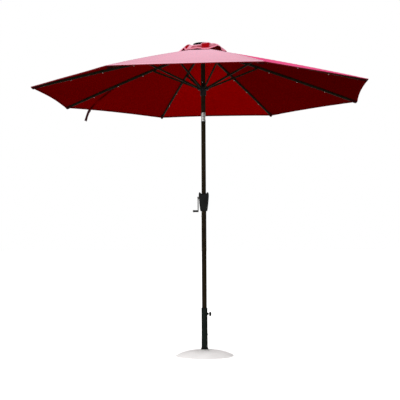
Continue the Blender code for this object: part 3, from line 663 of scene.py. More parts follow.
# The hem's top takes the same painted sheen by panel as the cloth.
HEM = stitched("canopy_hem", (0.085, 0.006, 0.008), (0.120, 0.010, 0.013), THREAD, (0.004, 0.015), panel_sheen_paint)
# The hem's underside is a darker copy of the hem, with darker thread: painted shade.
HEM_UNDER_SHADED = stitched(
    "canopy_hem_underside", (0.040, 0.0004, 0.0004), (0.055, 0.0006, 0.0006), (0.05, 0.003, 0.003),
    (0.004, 0.015),
)
# The vent edge and the seam tape take a painted sheen at a flat angle.
EDGE = stitched("vent_edge", (0.50, 0.15, 0.21), (0.58, 0.19, 0.26), THREAD, (0.004,), CAP_SHEEN_PAINT)
SEAM = stitched(
    "canopy_seam", (0.15, 0.004, 0.007), (0.21, 0.006, 0.010), THREAD, (-0.0045, 0.0045), (0.62, 0.33, 0.42)
)
POCKET = stitched(
    "rib_pocket", (0.012, 0.0012, 0.0014), (0.020, 0.0016, 0.0018), (0.06, 0.008, 0.008), (0.004,)
)
WEBBING = webbing_look()
BRAID = cord_look()
SOLAR = solar_look()
LENS = lens_look()


# Base


def bored(radius, z, axis, sides=32):
    """Round cutter through one wall of a tube on the pole's axis."""
    reach = 0.04
    return turned(lathe([(0, 0), (radius, 0), (radius, reach), (0, reach)], sides), axis, (0, 0, z))


def base_outline():
    """Half section of the cast dome."""
    points = [(0.013, 0.0), (BASE_RADIUS - 0.004, 0.0)]
    points += [(BASE_RADIUS - 0.0008, 0.0010), (BASE_RADIUS, 0.003)]
    steps = 44
    for i in range(steps + 1):
        share = 1 - i / steps
        radius = BASE_TOP + (BASE_RADIUS - BASE_TOP) * share
        points.append((radius, BASE_EDGE + (BASE_HEIGHT - BASE_EDGE) * (1 - share**1.7)))
    pocket = TUBE_OUTER + GAP
    points += [(0.070, BASE_HEIGHT), (0.045, BASE_HEIGHT), (pocket, BASE_HEIGHT)]
    return points + [(pocket, 0.022), (0.0055, 0.022), (0.0055, 0.012), (0.013, 0.012)]


def cast_swell(radius, angle, z):
    """Hand-cast unevenness, with chips knocked out of the lower edge at the right."""
    if radius < 0.030:
        return radius
    place = Vector((radius * math.cos(angle), radius * math.sin(angle), z))
    r = radius + 0.0006 * noise.noise(place * 18) + 0.00025 * noise.noise(place * 90)
    side = math.exp(-(((angle - math.radians(342)) / 0.32) ** 2))
    low = 1 - ease((z - 0.004) / 0.016)
    chip = max(0.0, noise.noise(place * 130 + Vector((7, 3, 1))) + 0.16)
    return r - 0.010 * side * low * chip


def make_base():
    mesh = lathe(base_outline(), 240, cast_swell)
    piece("base_cast_weight", mesh, STONE, "base", ["base_weight"], 50)
    pocket, top = TUBE_OUTER + GAP, BASE_HEIGHT + 0.0100
    ring = [(pocket, BASE_HEIGHT + GAP), (0.033, BASE_HEIGHT + GAP), (0.033, top - 0.003)]
    ring += [(0.031, top), (pocket, top)]
    piece("base_trim_ring", lathe(rounded(ring, 0.0012)), GREY, "base", ["base_ring"])
    low = top + GAP
    collar = [(pocket, low), (0.0300, low), (0.0300, low + 0.003), (0.0278, low + 0.0065)]
    collar += [(0.0262, low + 0.013), (pocket, low + 0.013)]
    mesh = lathe(rounded(collar, 0.0010))
    piece("base_foot_collar", mesh, PLASTIC, "base", ["foot_collar"])
    wall = [(TUBE_OUTER, TUBE_FOOT_Z), (TUBE_OUTER, TUBE_TOP_Z)]
    wall += [(TUBE_INNER, TUBE_TOP_Z), (TUBE_INNER, TUBE_FOOT_Z)]
    mesh = lathe(rounded(wall, 0.0006))
    made = piece("base_upright_tube", mesh, BLACK, "base", ["base_tube"])
    cut(made, [bored(0.0046, CLAMP_Z, ALONG_X), bored(0.0024, RIVET_Z, ALONG_X, 24)])
    inner, outer, lip = LOWER_POLE + GAP, TUBE_INNER - GAP, TUBE_TOP_Z + GAP
    bushing = [(inner, 0.345), (outer, 0.345), (outer, lip), (0.0250, lip), (0.0250, lip + 0.003)]
    bushing += [(0.0235, lip + 0.004), (inner, lip + 0.004)]
    mesh = lathe(rounded(bushing, 0.0009))
    piece("tube_top_bushing", mesh, PLASTIC, "base", ["tube_bushing"])
    head_x = TUBE_OUTER + GAP
    rivet = [(0, inner + GAP), (0.0020, inner + GAP), (0.0020, head_x), (0.0052, head_x)]
    rivet += [(0.0050, head_x + 0.0014), (0.0032, head_x + 0.0030), (0, head_x + 0.0035)]
    mesh = turned(lathe(rounded(rivet, 0.0006), 32), ALONG_X, (0, 0, RIVET_Z))
    piece("tube_side_rivet", mesh, BLACK, "base", ["tube_rivet"])
    refined("clamp_threaded_boss", "clamp_boss", BLACK, 0.0006)
    make_clamp_knob()


def thread_swell(radius, angle, z):
    """Rolled screw thread."""
    return radius + 0.00035 * math.sin(2 * math.pi * z / 0.00125 - angle) if radius > 0.003 else radius


def knob_swell(radius, angle, z):
    """Five finger lobes on the knob's rim."""
    if radius < 0.0095:
        return radius
    return radius * (1 + 0.10 * math.cos(5 * angle) * ease((radius - 0.0095) / 0.006))


def make_clamp_knob():
    steps = 110
    low, high = LOWER_POLE + GAP, 0.0460
    thread = [(0.0036, low + (high - low) * i / steps) for i in range(steps + 1)]
    thread = [(0, low), *thread, (0, high)]
    mesh = turned(lathe(thread, 24, thread_swell), ALONG_X, (0, 0, CLAMP_Z))
    piece("clamp_screw_stem", mesh, STEEL, "clamp_stem", ["clamp_stem"])
    bore = 0.0043
    knob = [(0, 0.0463), (bore, 0.0463), (bore, 0.0370), (0.0088, 0.0370), (0.0092, 0.0380)]
    knob += [(0.0165, 0.0386), (0.0183, 0.0415), (0.0180, 0.0440), (0.0176, 0.0460), (0.0162, 0.0484)]
    knob += [(0.0140, 0.0505), (0.0112, 0.0526), (0.0080, 0.0540), (0.0074, 0.0546), (0, 0.0550)]
    mesh = turned(lathe(rounded(knob, 0.0009), 120, knob_swell), ALONG_X, (0, 0, CLAMP_Z))
    piece("clamp_hand_knob", mesh, PLASTIC, "clamp_knob", ["clamp_knob"])


# Poles


def pole_tube(outer, inner, low, high):
    """A tube with turned-over ends and rings enough for its finish."""
    stations = [low + (high - low) * i / 12 for i in range(13)]
    wall = [(outer, z) for z in stations] + [(inner, z) for z in reversed(stations)]
    return lathe(rounded(wall, 0.0005), 64)


def make_poles():
    low = FOOT_Z + 0.005 + GAP
    mesh = pole_tube(LOWER_POLE, LOWER_POLE_INNER, low, SPLIT_Z)
    made = piece("pole_lower_tube", mesh, BRONZE, "pole", ["lower_pole"])
    cut(made, [bored(0.0046, SNAP_Z, ALONG_MINUS_X)])
    mesh = pole_tube(POLE, POLE_INNER, SNAP_Z - POLE_OVERLAP, TILT_Z - TILT_GAP)
    made = piece("pole_middle_tube", mesh, BRONZE, "pole", ["middle_pole"])
    shaft_holes = [bored(0.0043, CRANK_Z, axis) for axis in (ALONG_MINUS_X, ALONG_X)]
    cut(made, [bored(0.0046, SNAP_Z, ALONG_MINUS_X), *shaft_holes])
    button = [(0, 0.0090), (0.0060, 0.0090), (0.0060, 0.0115), (0.0042, 0.0115)]
    button += [(0.0042, 0.0203), (0.0032, 0.0220), (0.0018, 0.0227), (0, 0.0228)]
    mesh = turned(lathe(rounded(button, 0.0006), 32), ALONG_MINUS_X, (0, 0, SNAP_Z))
    piece("pole_snap_button", mesh, STEEL, "snap_button", ["snap_button"])
    mesh = pole_tube(POLE, POLE_INNER, TILT_Z + TILT_GAP, POLE_TOP_Z)
    made = piece("pole_upper_tube", mesh, BRONZE, "upper_pole", ["upper_pole"])
    turn = outward(STOP_RIVET_TURN)
    cut(made, [bored(0.0023, STOP_RIVET_Z, turn, 24)])
    rivet = [(0, 0.0130), (0.0020, 0.0130), (0.0020, POLE + GAP), (0.0044, POLE + GAP)]
    rivet += [(0.0040, POLE + 0.0018), (0.0022, POLE + 0.0027), (0, POLE + 0.0029)]
    mesh = turned(lathe(rounded(rivet, 0.0005), 24), turn, (0, 0, STOP_RIVET_Z))
    piece("runner_stop_rivet", mesh, STEEL, "upper_pole", ["stop_rivet"])
    refined("pole_foot_insert", "pole_foot_plug", PLASTIC, 0.0005)


def make_tilt():
    refined("tilt_lower_fork", "tilt_fork", ALLOY, 0.0006)
    refined("tilt_upper_clevis", "tilt_clevis", ALLOY, 0.0006)
    refined("tilt_cross_pin", "tilt_pin", STEEL, 0.0004)
    refined("tilt_push_button", "tilt_button", PLASTIC, 0.0004)
    for name, body, outer, low, high in (
        ("tilt_lower_band", "pole", 0.0186, -0.0415, -0.0352),
        ("tilt_upper_band", "upper_pole", 0.0184, 0.0352, 0.0385),
    ):
        band = [(0.0176, low), (outer, low), (outer, high), (0.0176, high)]
        mesh = turned(lathe(rounded(band, 0.0004)), UP, (0, 0, TILT_Z))
        piece(name, mesh, PLASTIC, body)


def make_crank():
    refined("crank_case_front", "crank_housing_front", PLASTIC, 0.0010, 3)
    refined("crank_case_rear", "crank_housing_rear", PLASTIC, 0.0010, 3)
    refined("crank_bent_arm", "crank_arm", BRONZE, 0.0011, 3)
    screw = [(0, 0.0488), (0.0062, 0.0488), (0.0061, 0.0502), (0.0050, 0.0514)]
    screw += [(0.0022, 0.0518), (0, 0.0518)]
    mesh = turned(lathe(rounded(screw, 0.0004), 32), ALONG_MINUS_X, (0, 0, CRANK_Z))
    made = piece("crank_arm_screw", mesh, STEEL, "crank", ["crank_screw"])
    cut(made, [hex_socket()])
    grip = [(0.0030, 0.0491), (0.0068, 0.0491), (0.0076, 0.0505), (0.0082, 0.0535), (0.0080, 0.0580)]
    grip += [(0.0078, 0.0640), (0.0080, 0.0710), (0.0086, 0.0800), (0.0085, 0.0830), (0.0074, 0.0860)]
    grip += [(0.0045, 0.0873), (0, 0.0875), (0, 0.0863), (0.0030, 0.0863)]
    low = CRANK_Z - CRANK_LENGTH
    mesh = turned(lathe(rounded(grip, 0.0009), 48, grip_swell), ALONG_MINUS_X, (0, 0, low))
    piece("crank_hand_grip", mesh, PLASTIC, "crank_grip", ["crank_grip"])
    for name in ("housing_screw_1", "housing_screw_2", "shaft_bush", "crank_shaft", "grip_pin"):
        refined(f"{name}_turned", name, STEEL, 0.0003)


def hex_socket():
    """Cutter for the hexagon socket in the crank's screw."""
    mesh = lathe([(0, 0.0502), (0.0026, 0.0502), (0.0026, 0.0560), (0, 0.0560)], 6)
    return turned(mesh, ALONG_MINUS_X, (0, 0, CRANK_Z))


def grip_swell(radius, angle, z):
    """Shallow flutes along the grip."""
    if radius < 0.0072:
        return radius
    return radius - 0.00030 * (0.5 + 0.5 * math.cos(10 * angle))


# Top hardware


def make_top():
    refined("runner_crown", "runner", PLASTIC, 0.0007)
    refined("hub_crown", "top_hub", PLASTIC, 0.0007)
    refined("hub_pulley_wheel", "pulley", PLASTIC, 0.0003)
    refined("hub_pulley_pin", "pulley_pin", STEEL, 0.0003)
    make_pins("runner_pins", "runner", RUNNER_Z)
    make_pins("hub_pins", "upper_pole", fabric_z(HUB_PIVOT) - RIB_DROP)
    low, flange = SOLAR_FOOT_Z, SOLAR_FLANGE_Z
    unit = [(0, low), (0.0420, low), (0.0445, low + 0.003), (0.0445, flange), (0.0740, flange)]
    unit += [(0.0780, flange + 0.003), (0.0780, flange + 0.0095), (0.0765, flange + 0.0115)]
    unit += [(0.0723, flange + 0.0115), (0.0723, flange + 0.0085), (0, flange + 0.0085)]
    mesh = lathe(rounded(unit, 0.0012), 96)
    piece("solar_case", mesh, PLASTIC, "upper_pole", ["solar_housing"])
    low = flange + 0.0085 + GAP
    glass = [(0, low), (0.0720, low), (0.0720, flange + 0.0113)]
    for i in range(9):
        share = i / 8
        glass.append((0.0715 * (1 - share), flange + 0.0113 + 0.0021 * (1 - (1 - share) ** 2)))
    piece("solar_glass_lens", lathe(glass, 96), SOLAR, "upper_pole", ["solar_panel"])


def make_pins(name, body, height):
    """Hinge pins across the slots of a crown."""
    pins = []
    for k in range(1, RIBS + 1):
        azimuth = rib_angle(k)
        side = UP.cross(outward(azimuth))
        rod = lathe([(0, -0.0092), (0.0019, -0.0092), (0.0019, 0.0092), (0, 0.0092)], 12)
        at = outward(azimuth) * HUB_PIVOT + UP * height
        pins.append(turned(rod, side, at))
    piece(name, joined(pins), STEEL, body)


def rib_down(radius):
    """Direction square to a rib that lies along +X, away from the cloth."""
    return Vector((-SLOPE - 2 * BEND * radius, 0, -1)).normalized()


def rib_spot(radius, drop, aside=0.0):
    """A point beside a rib that lies along +X: drop is measured square to the rib, down from its middle."""
    return Vector((radius, aside, fabric_z(radius) - RIB_DROP)) + rib_down(radius) * drop


def make_ribs():
    for k in range(1, RIBS + 1):
        turn = Matrix.Rotation(rib_angle(k), 4, "Z")
        body = f"rib_{k}"
        refined(f"rib_channel_{k}", body, BRONZE, 0.0006)
        refined(f"strut_bar_{k}", f"strut_{k}", BRONZE, 0.0008)
        make_rib_fittings(k, turn, body)
        make_lamps(k, turn, body)


def make_rib_fittings(k, turn, body):
    """Rivet heads on the strut bracket, and a cap on the rib's tip."""
    heads = []
    bracket_z = fabric_z(BRACKET_RADIUS) - RIB_DROP - BRACKET_DROP
    for side in (-1, 1):
        at = Vector((BRACKET_RADIUS, side * 0.0078, bracket_z))
        heads.append(turned(lathe(dome(0.0046, 0.0020), 20), (0, side, 0), at))
    piece(f"rib_rivets_{k}", moved(joined(heads), turn), BRONZE, body)
    rings = []
    for radius, half, height, top in (
        (RIB_TIP - 0.010, 0.0048, 0.0078, 0.0078), (RIB_TIP - GAP, 0.0048, 0.0078, 0.0078),
        (RIB_TIP, 0.0060, 0.0090, 0.0088), (RIB_TIP + 0.0020, 0.0060, 0.0090, 0.0088),
        (RIB_TIP + 0.0045, 0.0042, 0.0070, 0.0070),
    ):
        corner = 0.0020
        ring = []
        for y, z in (
            (half, top - corner), (half - corner, top), (corner - half, top), (-half, top - corner),
            (-half, corner - height), (corner - half, -height),
            (half - corner, -height), (half, corner - height),
        ):
            ring.append(rib_spot(radius, -z, y))
        rings.append(ring)
    piece(f"rib_end_cap_{k}", moved(loft(rings), turn), PLASTIC, body)


def make_lamps(k, turn, body):
    """Three lamps under a rib, with a wire from lamp to lamp that goes in at a grommet."""
    bezels, lenses = [], []
    under = RIB_HEIGHT / 2
    for radius in LAMP_RADII:
        down, seat = rib_down(radius), rib_spot(radius, under)
        shell = [(0, -0.0010), (0.0066, -0.0010), (0.0066, 0.0026), (0.0056, 0.0042), (0.0047, 0.0042)]
        shell += [(0.0047, 0.0022), (0, 0.0022)]
        bezels.append(turned(lathe(rounded(shell, 0.0005), 28), down, seat))
        lens = [(r, h + 0.0024) for r, h in dome(0.0045, 0.0040, 6)]
        lenses.append(turned(lathe(lens, 28), down, seat))
    path = []
    start, end = LAMP_RADII[0] - 0.055, LAMP_RADII[-1]
    count = 60
    for i in range(count + 1):
        radius = start + (end - start) * i / count
        near = min(abs(radius - lamp) for lamp in LAMP_RADII)
        drop = under + 0.0011 + 0.0012 * math.sin(radius * 61 + k) ** 2 * ease((near - 0.01) / 0.03)
        if i == 0:
            drop = under - 0.002
        stray = 0.0012 * math.sin(radius * 27 + 2 * k) * ease((near - 0.01) / 0.03)
        path.append(rib_spot(radius, drop, stray))
    bezels.append(tube(path, 0.0011, 8))
    grommet = lathe(dome(0.0034, 0.0022), 20)
    bezels.append(turned(grommet, rib_down(start), rib_spot(start, under)))
    piece(f"lamp_strip_{k}", moved(joined(bezels), turn), PLASTIC, body)
    piece(f"lamp_lenses_{k}", moved(joined(lenses), turn), LENS, body)


# Canopy cloth. A place on it is (turn, radius): turn counts panels, and whole turns lie over the ribs.


def chord_point(turn, radius):
    """The stretched cloth's top face before it sags and puckers."""
    panel = math.floor(turn)
    share = turn - panel
    near = outward(FIRST + panel * STEP) * radius
    far = outward(FIRST + (panel + 1) * STEP) * radius
    across = near.lerp(far, share)
    bow = 4 * share * (1 - share)
    pull = SCALLOP * bow * (radius / CANOPY_RADIUS) ** 3
    across -= pull * outward(FIRST + (panel + 0.5) * STEP)
    across.z = fabric_z(radius) + pull * (SLOPE + 2 * BEND * radius)
    return across


def relief(turn, radius):
    """How far the cloth stands off its stretched shape."""
    panel = math.floor(turn)
    share = turn - panel
    bow = 4 * share * (1 - share)
    along = min(max((radius - VENT_HOLE) / (CANOPY_RADIUS - VENT_HOLE), 0.0), 1.0)
    nearest = round(turn) % RIBS
    aside = radius * STEP * min(share, 1 - share)
    sag = -0.0050 * bow * math.sin(math.pi * along)
    pucker = 0.0005 * math.exp(-aside / 0.030) * math.sin(radius * 2 * math.pi / 0.046 + 1.7 * nearest)
    back = CANOPY_RADIUS - radius
    distance = math.hypot(aside, back)
    angle = math.atan2(aside, max(back, 1e-4))
    pull = 0.0008 * math.exp(-distance / 0.26) * ease(distance / 0.10) * math.cos(9 * angle + nearest)
    drift = Vector((turn % RIBS * 2.1, radius * 2.4, 1.7))
    flutter = 0.0030 * bow * along**3 * noise.noise(drift)
    return sag + pucker + pull + flutter


def cloth_frame(turn, radius):
    """(point, upward normal) of the cloth's top face."""
    step = 0.004
    points = []
    for t, r in ((0, 0), (step, 0), (-step, 0), (0, step), (0, -step)):
        point = chord_point(turn + t, radius + r)
        point.z += relief(turn + t, radius + r)
        points.append(point)
    here, ahead, behind, out, back = points
    normal = (out - back).cross(ahead - behind).normalized()
    return here, normal if normal.z > 0 else -normal


def skin(name, rows, looks, thick, uvs, edge=1, fold=None):
    """A two-layer cloth piece with closed edges from rows of (point, normal), shaded by those normals.

    thick is one value or one per row, edge is the look of the outer edge, and fold(row, column) says
    which cells of the top face take the last look.
    """
    count, width = len(rows), len(rows[0])
    top = [p for row in rows for p, _ in row]
    depths = thick if isinstance(thick, list) else [thick] * count
    under = [p - n * depth for row, depth in zip(rows, depths) for p, n in row]
    normals = [n for row in rows for _, n in row]
    normals += [-n for n in normals]
    shift = count * width
    faces, marks = [], []
    for i in range(count - 1):
        for j in range(width - 1):
            a, b = i * width + j, i * width + j + 1
            c, d = b + width, a + width
            faces.append((a, b, c, d))
            marks.append(len(looks) - 1 if fold and fold(i, j) else 0)
            faces.append((d + shift, c + shift, b + shift, a + shift))
            marks.append(1)
    rim = list(range(width)) + [i * width + width - 1 for i in range(1, count)]
    rim += [(count - 1) * width + i for i in range(width - 2, -1, -1)]
    rim += [i * width for i in range(count - 2, 0, -1)]
    sheets = len(faces)
    for a, b in zip(rim, rim[1:] + rim[:1]):
        faces.append((b, a, a + shift, b + shift))
        marks.append(edge if min(a, b) >= (count - 1) * width else 1)
    data = bpy.data.meshes.new(name)
    data.from_pydata([tuple(p) for p in top + under], [], faces)
    for look in looks:
        data.materials.append(look)
    data.polygons.foreach_set("material_index", [min(m, len(looks) - 1) for m in marks])
    flat = [uv for row in uvs for uv in row] * 2
    layer = data.uv_layers.new(name="flat")
    spots = np.array([flat[loop.vertex_index] for loop in data.loops], np.float32)
    layer.data.foreach_set("uv", spots.ravel())
    data.update()
    probe = data.polygons[0]
    if probe.normal.dot(normals[probe.vertices[0]]) < 0:
        data.flip_normals()
    data.shade_smooth()
    shading = []
    for face in data.polygons:
        for corner in face.vertices:
            shading.append(tuple(normals[corner]) if face.index < sheets else tuple(face.normal))
    data.normals_split_custom_set(shading)
    made = bpy.data.objects.new(name, data)
    bpy.context.scene.collection.objects.link(made)
    return made


def follow_rib(made, k):
    """Ride on a rib, with a mesh of its own."""
    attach(made, f"rib_{k}")
    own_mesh(made)


def cloth_rows(turns, radii):
    return [[cloth_frame(turn, radius) for turn in turns] for radius in radii]


def spread(low, high, count):
    return [low + (high - low) * i / count for i in range(count + 1)]


def sector_turns(k, half=16):
    """Turns across a rib's sector, closer together near the rib."""
    middle = k - 1
    shares = [0.5 * (i / half) ** 1.3 for i in range(half + 1)]
    return [middle - s for s in reversed(shares[1:])] + [middle + s for s in shares]


def sector_uvs(turns, radii, middle):
    uvs = []
    for radius in radii:
        width = radius * STEP
        uvs.append([((turn - middle) * width, radius * 1.04) for turn in turns])
    return uvs


def make_canopy():
    radii = spread(VENT_HOLE, CANOPY_RADIUS, 72)
    for k in range(1, RIBS + 1):
        turns = sector_turns(k)
        rows = cloth_rows(turns, radii)
        uvs = sector_uvs(turns, radii, k - 1)
        made = skin(f"canopy_panel_{k}", rows, (TOP, UNDER_SHADED), FABRIC, uvs)
        with_it = [make_seam(k), make_hem(k), make_vent_hem(k), make_pocket(k)]
        follow_rib(made, k)
        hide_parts("canopy")


def make_seam(k):
    """Folded seam tape along the rib line, on top."""
    radii = spread(VENT_HOLE + 0.002, CANOPY_RADIUS - 0.016, 110)
    half = 0.0075
    rows, uvs = [], []
    for radius in radii:
        row, line = [], []
        for share in (-1, -0.85, -0.3, 0.3, 0.85, 1):
            turn = k - 1 + share * half / (radius * STEP)
            point, normal = cloth_frame(turn, radius)
            lift = 0.0011 if abs(share) < 0.9 else 0.0003
            row.append((point + normal * lift, normal))
            line.append((share * half, radius * 1.04))
        rows.append(row)
        uvs.append(line)
    made = skin(f"canopy_seam_{k}", rows, (SEAM,), 0.0009, uvs)
    follow_rib(made, k)
    return made


def hem_strip(name, k, inner, outer, depths):
    """Turned-over edge of the cloth between two radii, standing off both faces."""
    turns = sector_turns(k, 24)
    rows, uvs = [], []
    for n, radius in enumerate(spread(inner, outer, 5)):
        proud = 0.0004 if n in (0, 5) else 0.0011
        frames = [cloth_frame(turn, radius) for turn in turns]
        rows.append([(point + normal * proud, normal) for point, normal in frames])
        uvs.append([(radius - inner, (turn - k + 1) * outer * STEP) for turn in turns])
    made = skin(name, rows, (HEM, HEM_UNDER_SHADED), depths, uvs, edge=0)
    follow_rib(made, k)
    return made


def make_hem(k):
    """Rolled lower edge, deepest at its outside."""
    depths = [0.0030, 0.0034, 0.0036, 0.0040, 0.0050, 0.0060]
    return hem_strip(f"canopy_hem_{k}", k, CANOPY_RADIUS - 0.018, CANOPY_RADIUS + 0.001, depths)


def make_vent_hem(k):
    return hem_strip(f"vent_hole_hem_{k}", k, VENT_HOLE - 0.001, VENT_HOLE + 0.016, [0.0030] * 6)


def make_pocket(k):
    """Sewn sock that the rib's tip sits in, under the corner of the canopy."""
    turn = Matrix.Rotation(rib_angle(k), 4, "Z")
    wall = 0.0011
    rows, uvs = [], []
    sections = (
        (1.288, 0.0160, 0.0092, 0.0212), (1.292, 0.0155, 0.0090, 0.0218), (1.305, 0.0150, 0.0088, 0.0222),
        (1.325, 0.0145, 0.0086, 0.0222), (1.338, 0.0140, 0.0082, 0.0218), (1.344, 0.0120, 0.0068, 0.0170),
        (1.3475, 0.0090, 0.0040, 0.0090),
    )
    for radius, flare, half, deep in sections:
        profile = [
            (-flare, 0.0022), (-half - 0.0012, 0.0042), (-half, 0.0085), (-half, deep - 0.0050),
            (-half + 0.0030, deep), (0, deep + 0.0006), (half - 0.0030, deep), (half, deep - 0.0050),
            (half, 0.0085), (half + 0.0012, 0.0042), (flare, 0.0022),
        ]
        base = Vector((radius, 0, fabric_z(radius)))
        points = [base + rib_down(radius) * d + Vector((0, y, 0)) for y, d in profile]
        row, line, run = [], [], 0.0
        for i, point in enumerate(points):
            ahead = points[min(i + 1, len(points) - 1)] - points[max(i - 1, 0)]
            normal = Vector((1, 0, 0)).cross(ahead).normalized()
            row.append((turn @ point, (turn.to_3x3() @ normal)))
            if i:
                run += (points[i] - points[i - 1]).length
            line.append((radius - 1.288, run))
        rows.append(row)
        uvs.append(line)
    made = skin(f"rib_pocket_{k}", rows, (POCKET,), wall, uvs)
    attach(made, f"rib_{k}")
    return made


# Vent cap

# Lift of the cap's edge off the canopy: (share across a panel, lift), by panel
RIM_FOLDS = {
    4: ((0.0, 0.0), (0.22, 0.0), (0.50, 0.026), (0.62, 0.003), (1.0, 0.002)),
    5: (
        (0.0, 0.001), (0.10, 0.002), (0.30, 0.006), (0.50, 0.004),
        (0.60, -0.002), (0.91, -0.002), (1.0, 0.004),
    ),
    6: ((0.0, 0.004), (0.40, 0.033), (0.62, 0.031), (0.70, 0.001), (1.0, 0.0)),
}
ARCHES = (0.014, 0.018, 0.016, 0.004)
# Rise of the cap's crown above its plain shape: (turn, rise)
CROWN_FOLDS = (
    (0.0, 0.0), (4.3, 0.0), (4.62, -0.009), (5.44, -0.012), (5.54, 0.010),
    (6.03, 0.015), (6.22, 0.000), (6.50, -0.008), (8.0, 0.0),
)
CROWN_RADIUS = 0.125


def vent_z(radius):
    """Height of the vent cap's top face over a rib."""
    rim = fabric_z(VENT_RADIUS) + VENT_RIM_LIFT
    share = (radius - VENT_SHOULDER) / (VENT_RADIUS - VENT_SHOULDER)
    if share > 0:
        return VENT_SHOULDER_Z + (rim - VENT_SHOULDER_Z) * share**1.3
    inner = (VENT_SHOULDER - radius) / (VENT_SHOULDER - VENT_NECK)
    return VENT_SHOULDER_Z + (VENT_TOP_Z - VENT_SHOULDER_Z) * math.sin(inner * math.pi / 2)


def drawn(points, place):
    """Height of a folded line, straight between its points."""
    return float(np.interp(place, [x for x, _ in points], [y for _, y in points]))


def rim_fold(panel):
    """The folded edge line of a panel; panels without their own take one of four plain arches."""
    arch = ARCHES[panel % len(ARCHES)]
    plain = ((0.0, 0.0), (0.20, 0.001), (0.44, arch), (0.56, arch * 0.9), (0.82, 0.001), (1.0, 0.0))
    return RIM_FOLDS.get(panel, plain)


def vent_point(turn, radius):
    """The cap's top face: held at the ribs and standing up in straight folds between them."""
    panel = math.floor(turn)
    share = turn - panel
    part = (radius - VENT_NECK) / (VENT_RADIUS - VENT_NECK)
    flat = math.cos(STEP / 2) / math.cos(STEP * (share - 0.5))
    reach = radius * (1 + (flat - 1) * min(max(part, 0), 1))
    lift = drawn(rim_fold(panel % RIBS), share) * max(0.0, (part - 0.30) / 0.70)
    near = max(0.0, 1 - abs(radius - CROWN_RADIUS) / 0.050)
    crown = drawn(CROWN_FOLDS, turn % RIBS) * near
    place = Vector((math.cos(turn * STEP) * 3, math.sin(turn * STEP) * 3, radius * 9))
    crease = 0.0016 * noise.noise(place * 1.9) * ease(part / 0.3)
    point = outward(FIRST + turn * STEP) * reach
    point.z = vent_z(radius) + lift + crown + crease
    return point


def fold_shade_cell(turn, radius):
    """Whether the cap's top face there takes the fold look: painted shade of a steep fold facet, with no
    painted sheen.
    """
    turn %= RIBS
    steep = 5.54 < turn < 6.14 - 3.9 * (radius - 0.130) and radius > 0.142
    return steep or (4.50 < turn < 4.66 and radius > 0.165)


def vent_frame(turn, radius):
    """(point, upward normal) of the cap's top face."""
    here = vent_point(turn, radius)
    ends = [vent_point(turn + 0.01, radius), vent_point(turn - 0.01, radius)]
    ends += [vent_point(turn, radius + 0.002), vent_point(turn, radius - 0.002)]
    normal = (ends[2] - ends[3]).cross(ends[0] - ends[1]).normalized()
    return here, normal if normal.z > 0 else -normal


def make_vent():
    radii = spread(VENT_NECK, VENT_RADIUS, 30)
    for k in range(1, RIBS + 1):
        turns = spread(k - 1.5, k - 0.5, 32)
        rows = [[vent_frame(turn, radius) for turn in turns] for radius in radii]
        uvs = sector_uvs(turns, radii, k - 1)
        made = skin(
            f"vent_cap_{k}", rows, (CAP, UNDER_SHADED, FOLD_SHADE), FABRIC, uvs,
            fold=lambda i, j: fold_shade_cell(turns[j], radii[i]),
        )
        edge = make_vent_edge(k, turns)
        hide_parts("vent_cap")
        for part in (made, edge):
            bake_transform(part)


def make_vent_edge(k, turns):
    """Bound edge of the vent cap."""
    rows, uvs = [], []
    for n, radius in enumerate(spread(VENT_RADIUS - 0.011, VENT_RADIUS + 0.001, 3)):
        proud = 0.0003 if n in (0, 3) else 0.0008
        frames = [vent_frame(turn, radius) for turn in turns]
        rows.append([(point + normal * proud, normal) for point, normal in frames])
        uvs.append([(n * 0.004, (turn - k + 1) * VENT_RADIUS * STEP) for turn in turns])
    return skin(f"vent_cap_edge_{k}", rows, (EDGE, HEM_UNDER_SHADED), 0.0026, uvs, edge=0)


# Tie strap


def make_strap():
    """Over the panel from beside one rib to the rim, one twist on the way, then hanging down aslant."""
    count, bent, drop = 60, 8, 16
    radii, shares = zip(*STRAP_ROUTE)
    route, faces = [], []
    for i in range(count + 1):
        share = i / count
        radius = radii[0] + (radii[-1] - radii[0]) * share
        turn = STRAP_PANEL + float(np.interp(radius, radii, shares))
        point, normal = cloth_frame(turn, radius)
        wave = STRAP_LIFT + 0.0016 * math.sin(share * 17) ** 2
        route.append(point + normal * wave)
        faces.append(normal)
    ahead = route[-1] - route[0]
    ahead.z = 0
    ahead.normalize()
    side = UP.cross(ahead)
    over = route[-1]
    for n in range(1, bent + 1):
        turn = math.pi / 2 * n / bent
        route.append(over + ahead * STRAP_BEND * math.sin(turn) - UP * STRAP_BEND * (1 - math.cos(turn)))
        faces.append((UP * math.cos(turn) + ahead * math.sin(turn)).normalized())
    low = route[-1]
    for n in range(1, drop + 1):
        share = n / drop
        fall = UP * (STRAP_HANG - STRAP_BEND) * share
        route.append(low - fall + side * STRAP_SWAY * share**0.7)
        faces.append((ahead + side * 0.3 * math.sin(share * 3)).normalized())
    rows, uvs, run = [], [], 0.0
    for i, point in enumerate(route):
        along = (route[min(i + 1, len(route) - 1)] - route[max(i - 1, 0)]).normalized()
        across = along.cross(faces[i]).normalized()
        share = min(i / count, 1.0)
        twist = math.pi * ease((share - STRAP_TWIST_START) / STRAP_TWIST_SPAN)
        spin = Matrix.Rotation(twist, 3, along)
        across = spin @ across
        face = spin @ faces[i]
        lift = 0.0105 * math.sin(twist)
        half = STRAP_WIDTH / 2
        if i:
            run += (point - route[i - 1]).length
        row, line = [], []
        for s in (-1, -0.8, 0, 0.8, 1):
            puff = 0.0004 if abs(s) > 0.7 else 0.0
            row.append((point + UP * lift + across * s * half + face * puff, face))
            line.append((s * half, run))
        rows.append(row)
        uvs.append(line)
    made = skin("tie_strap_webbing", rows, (WEBBING,), 0.0013, uvs)
    follow_rib(made, 4)
    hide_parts("tie_strap")


# Lift cord


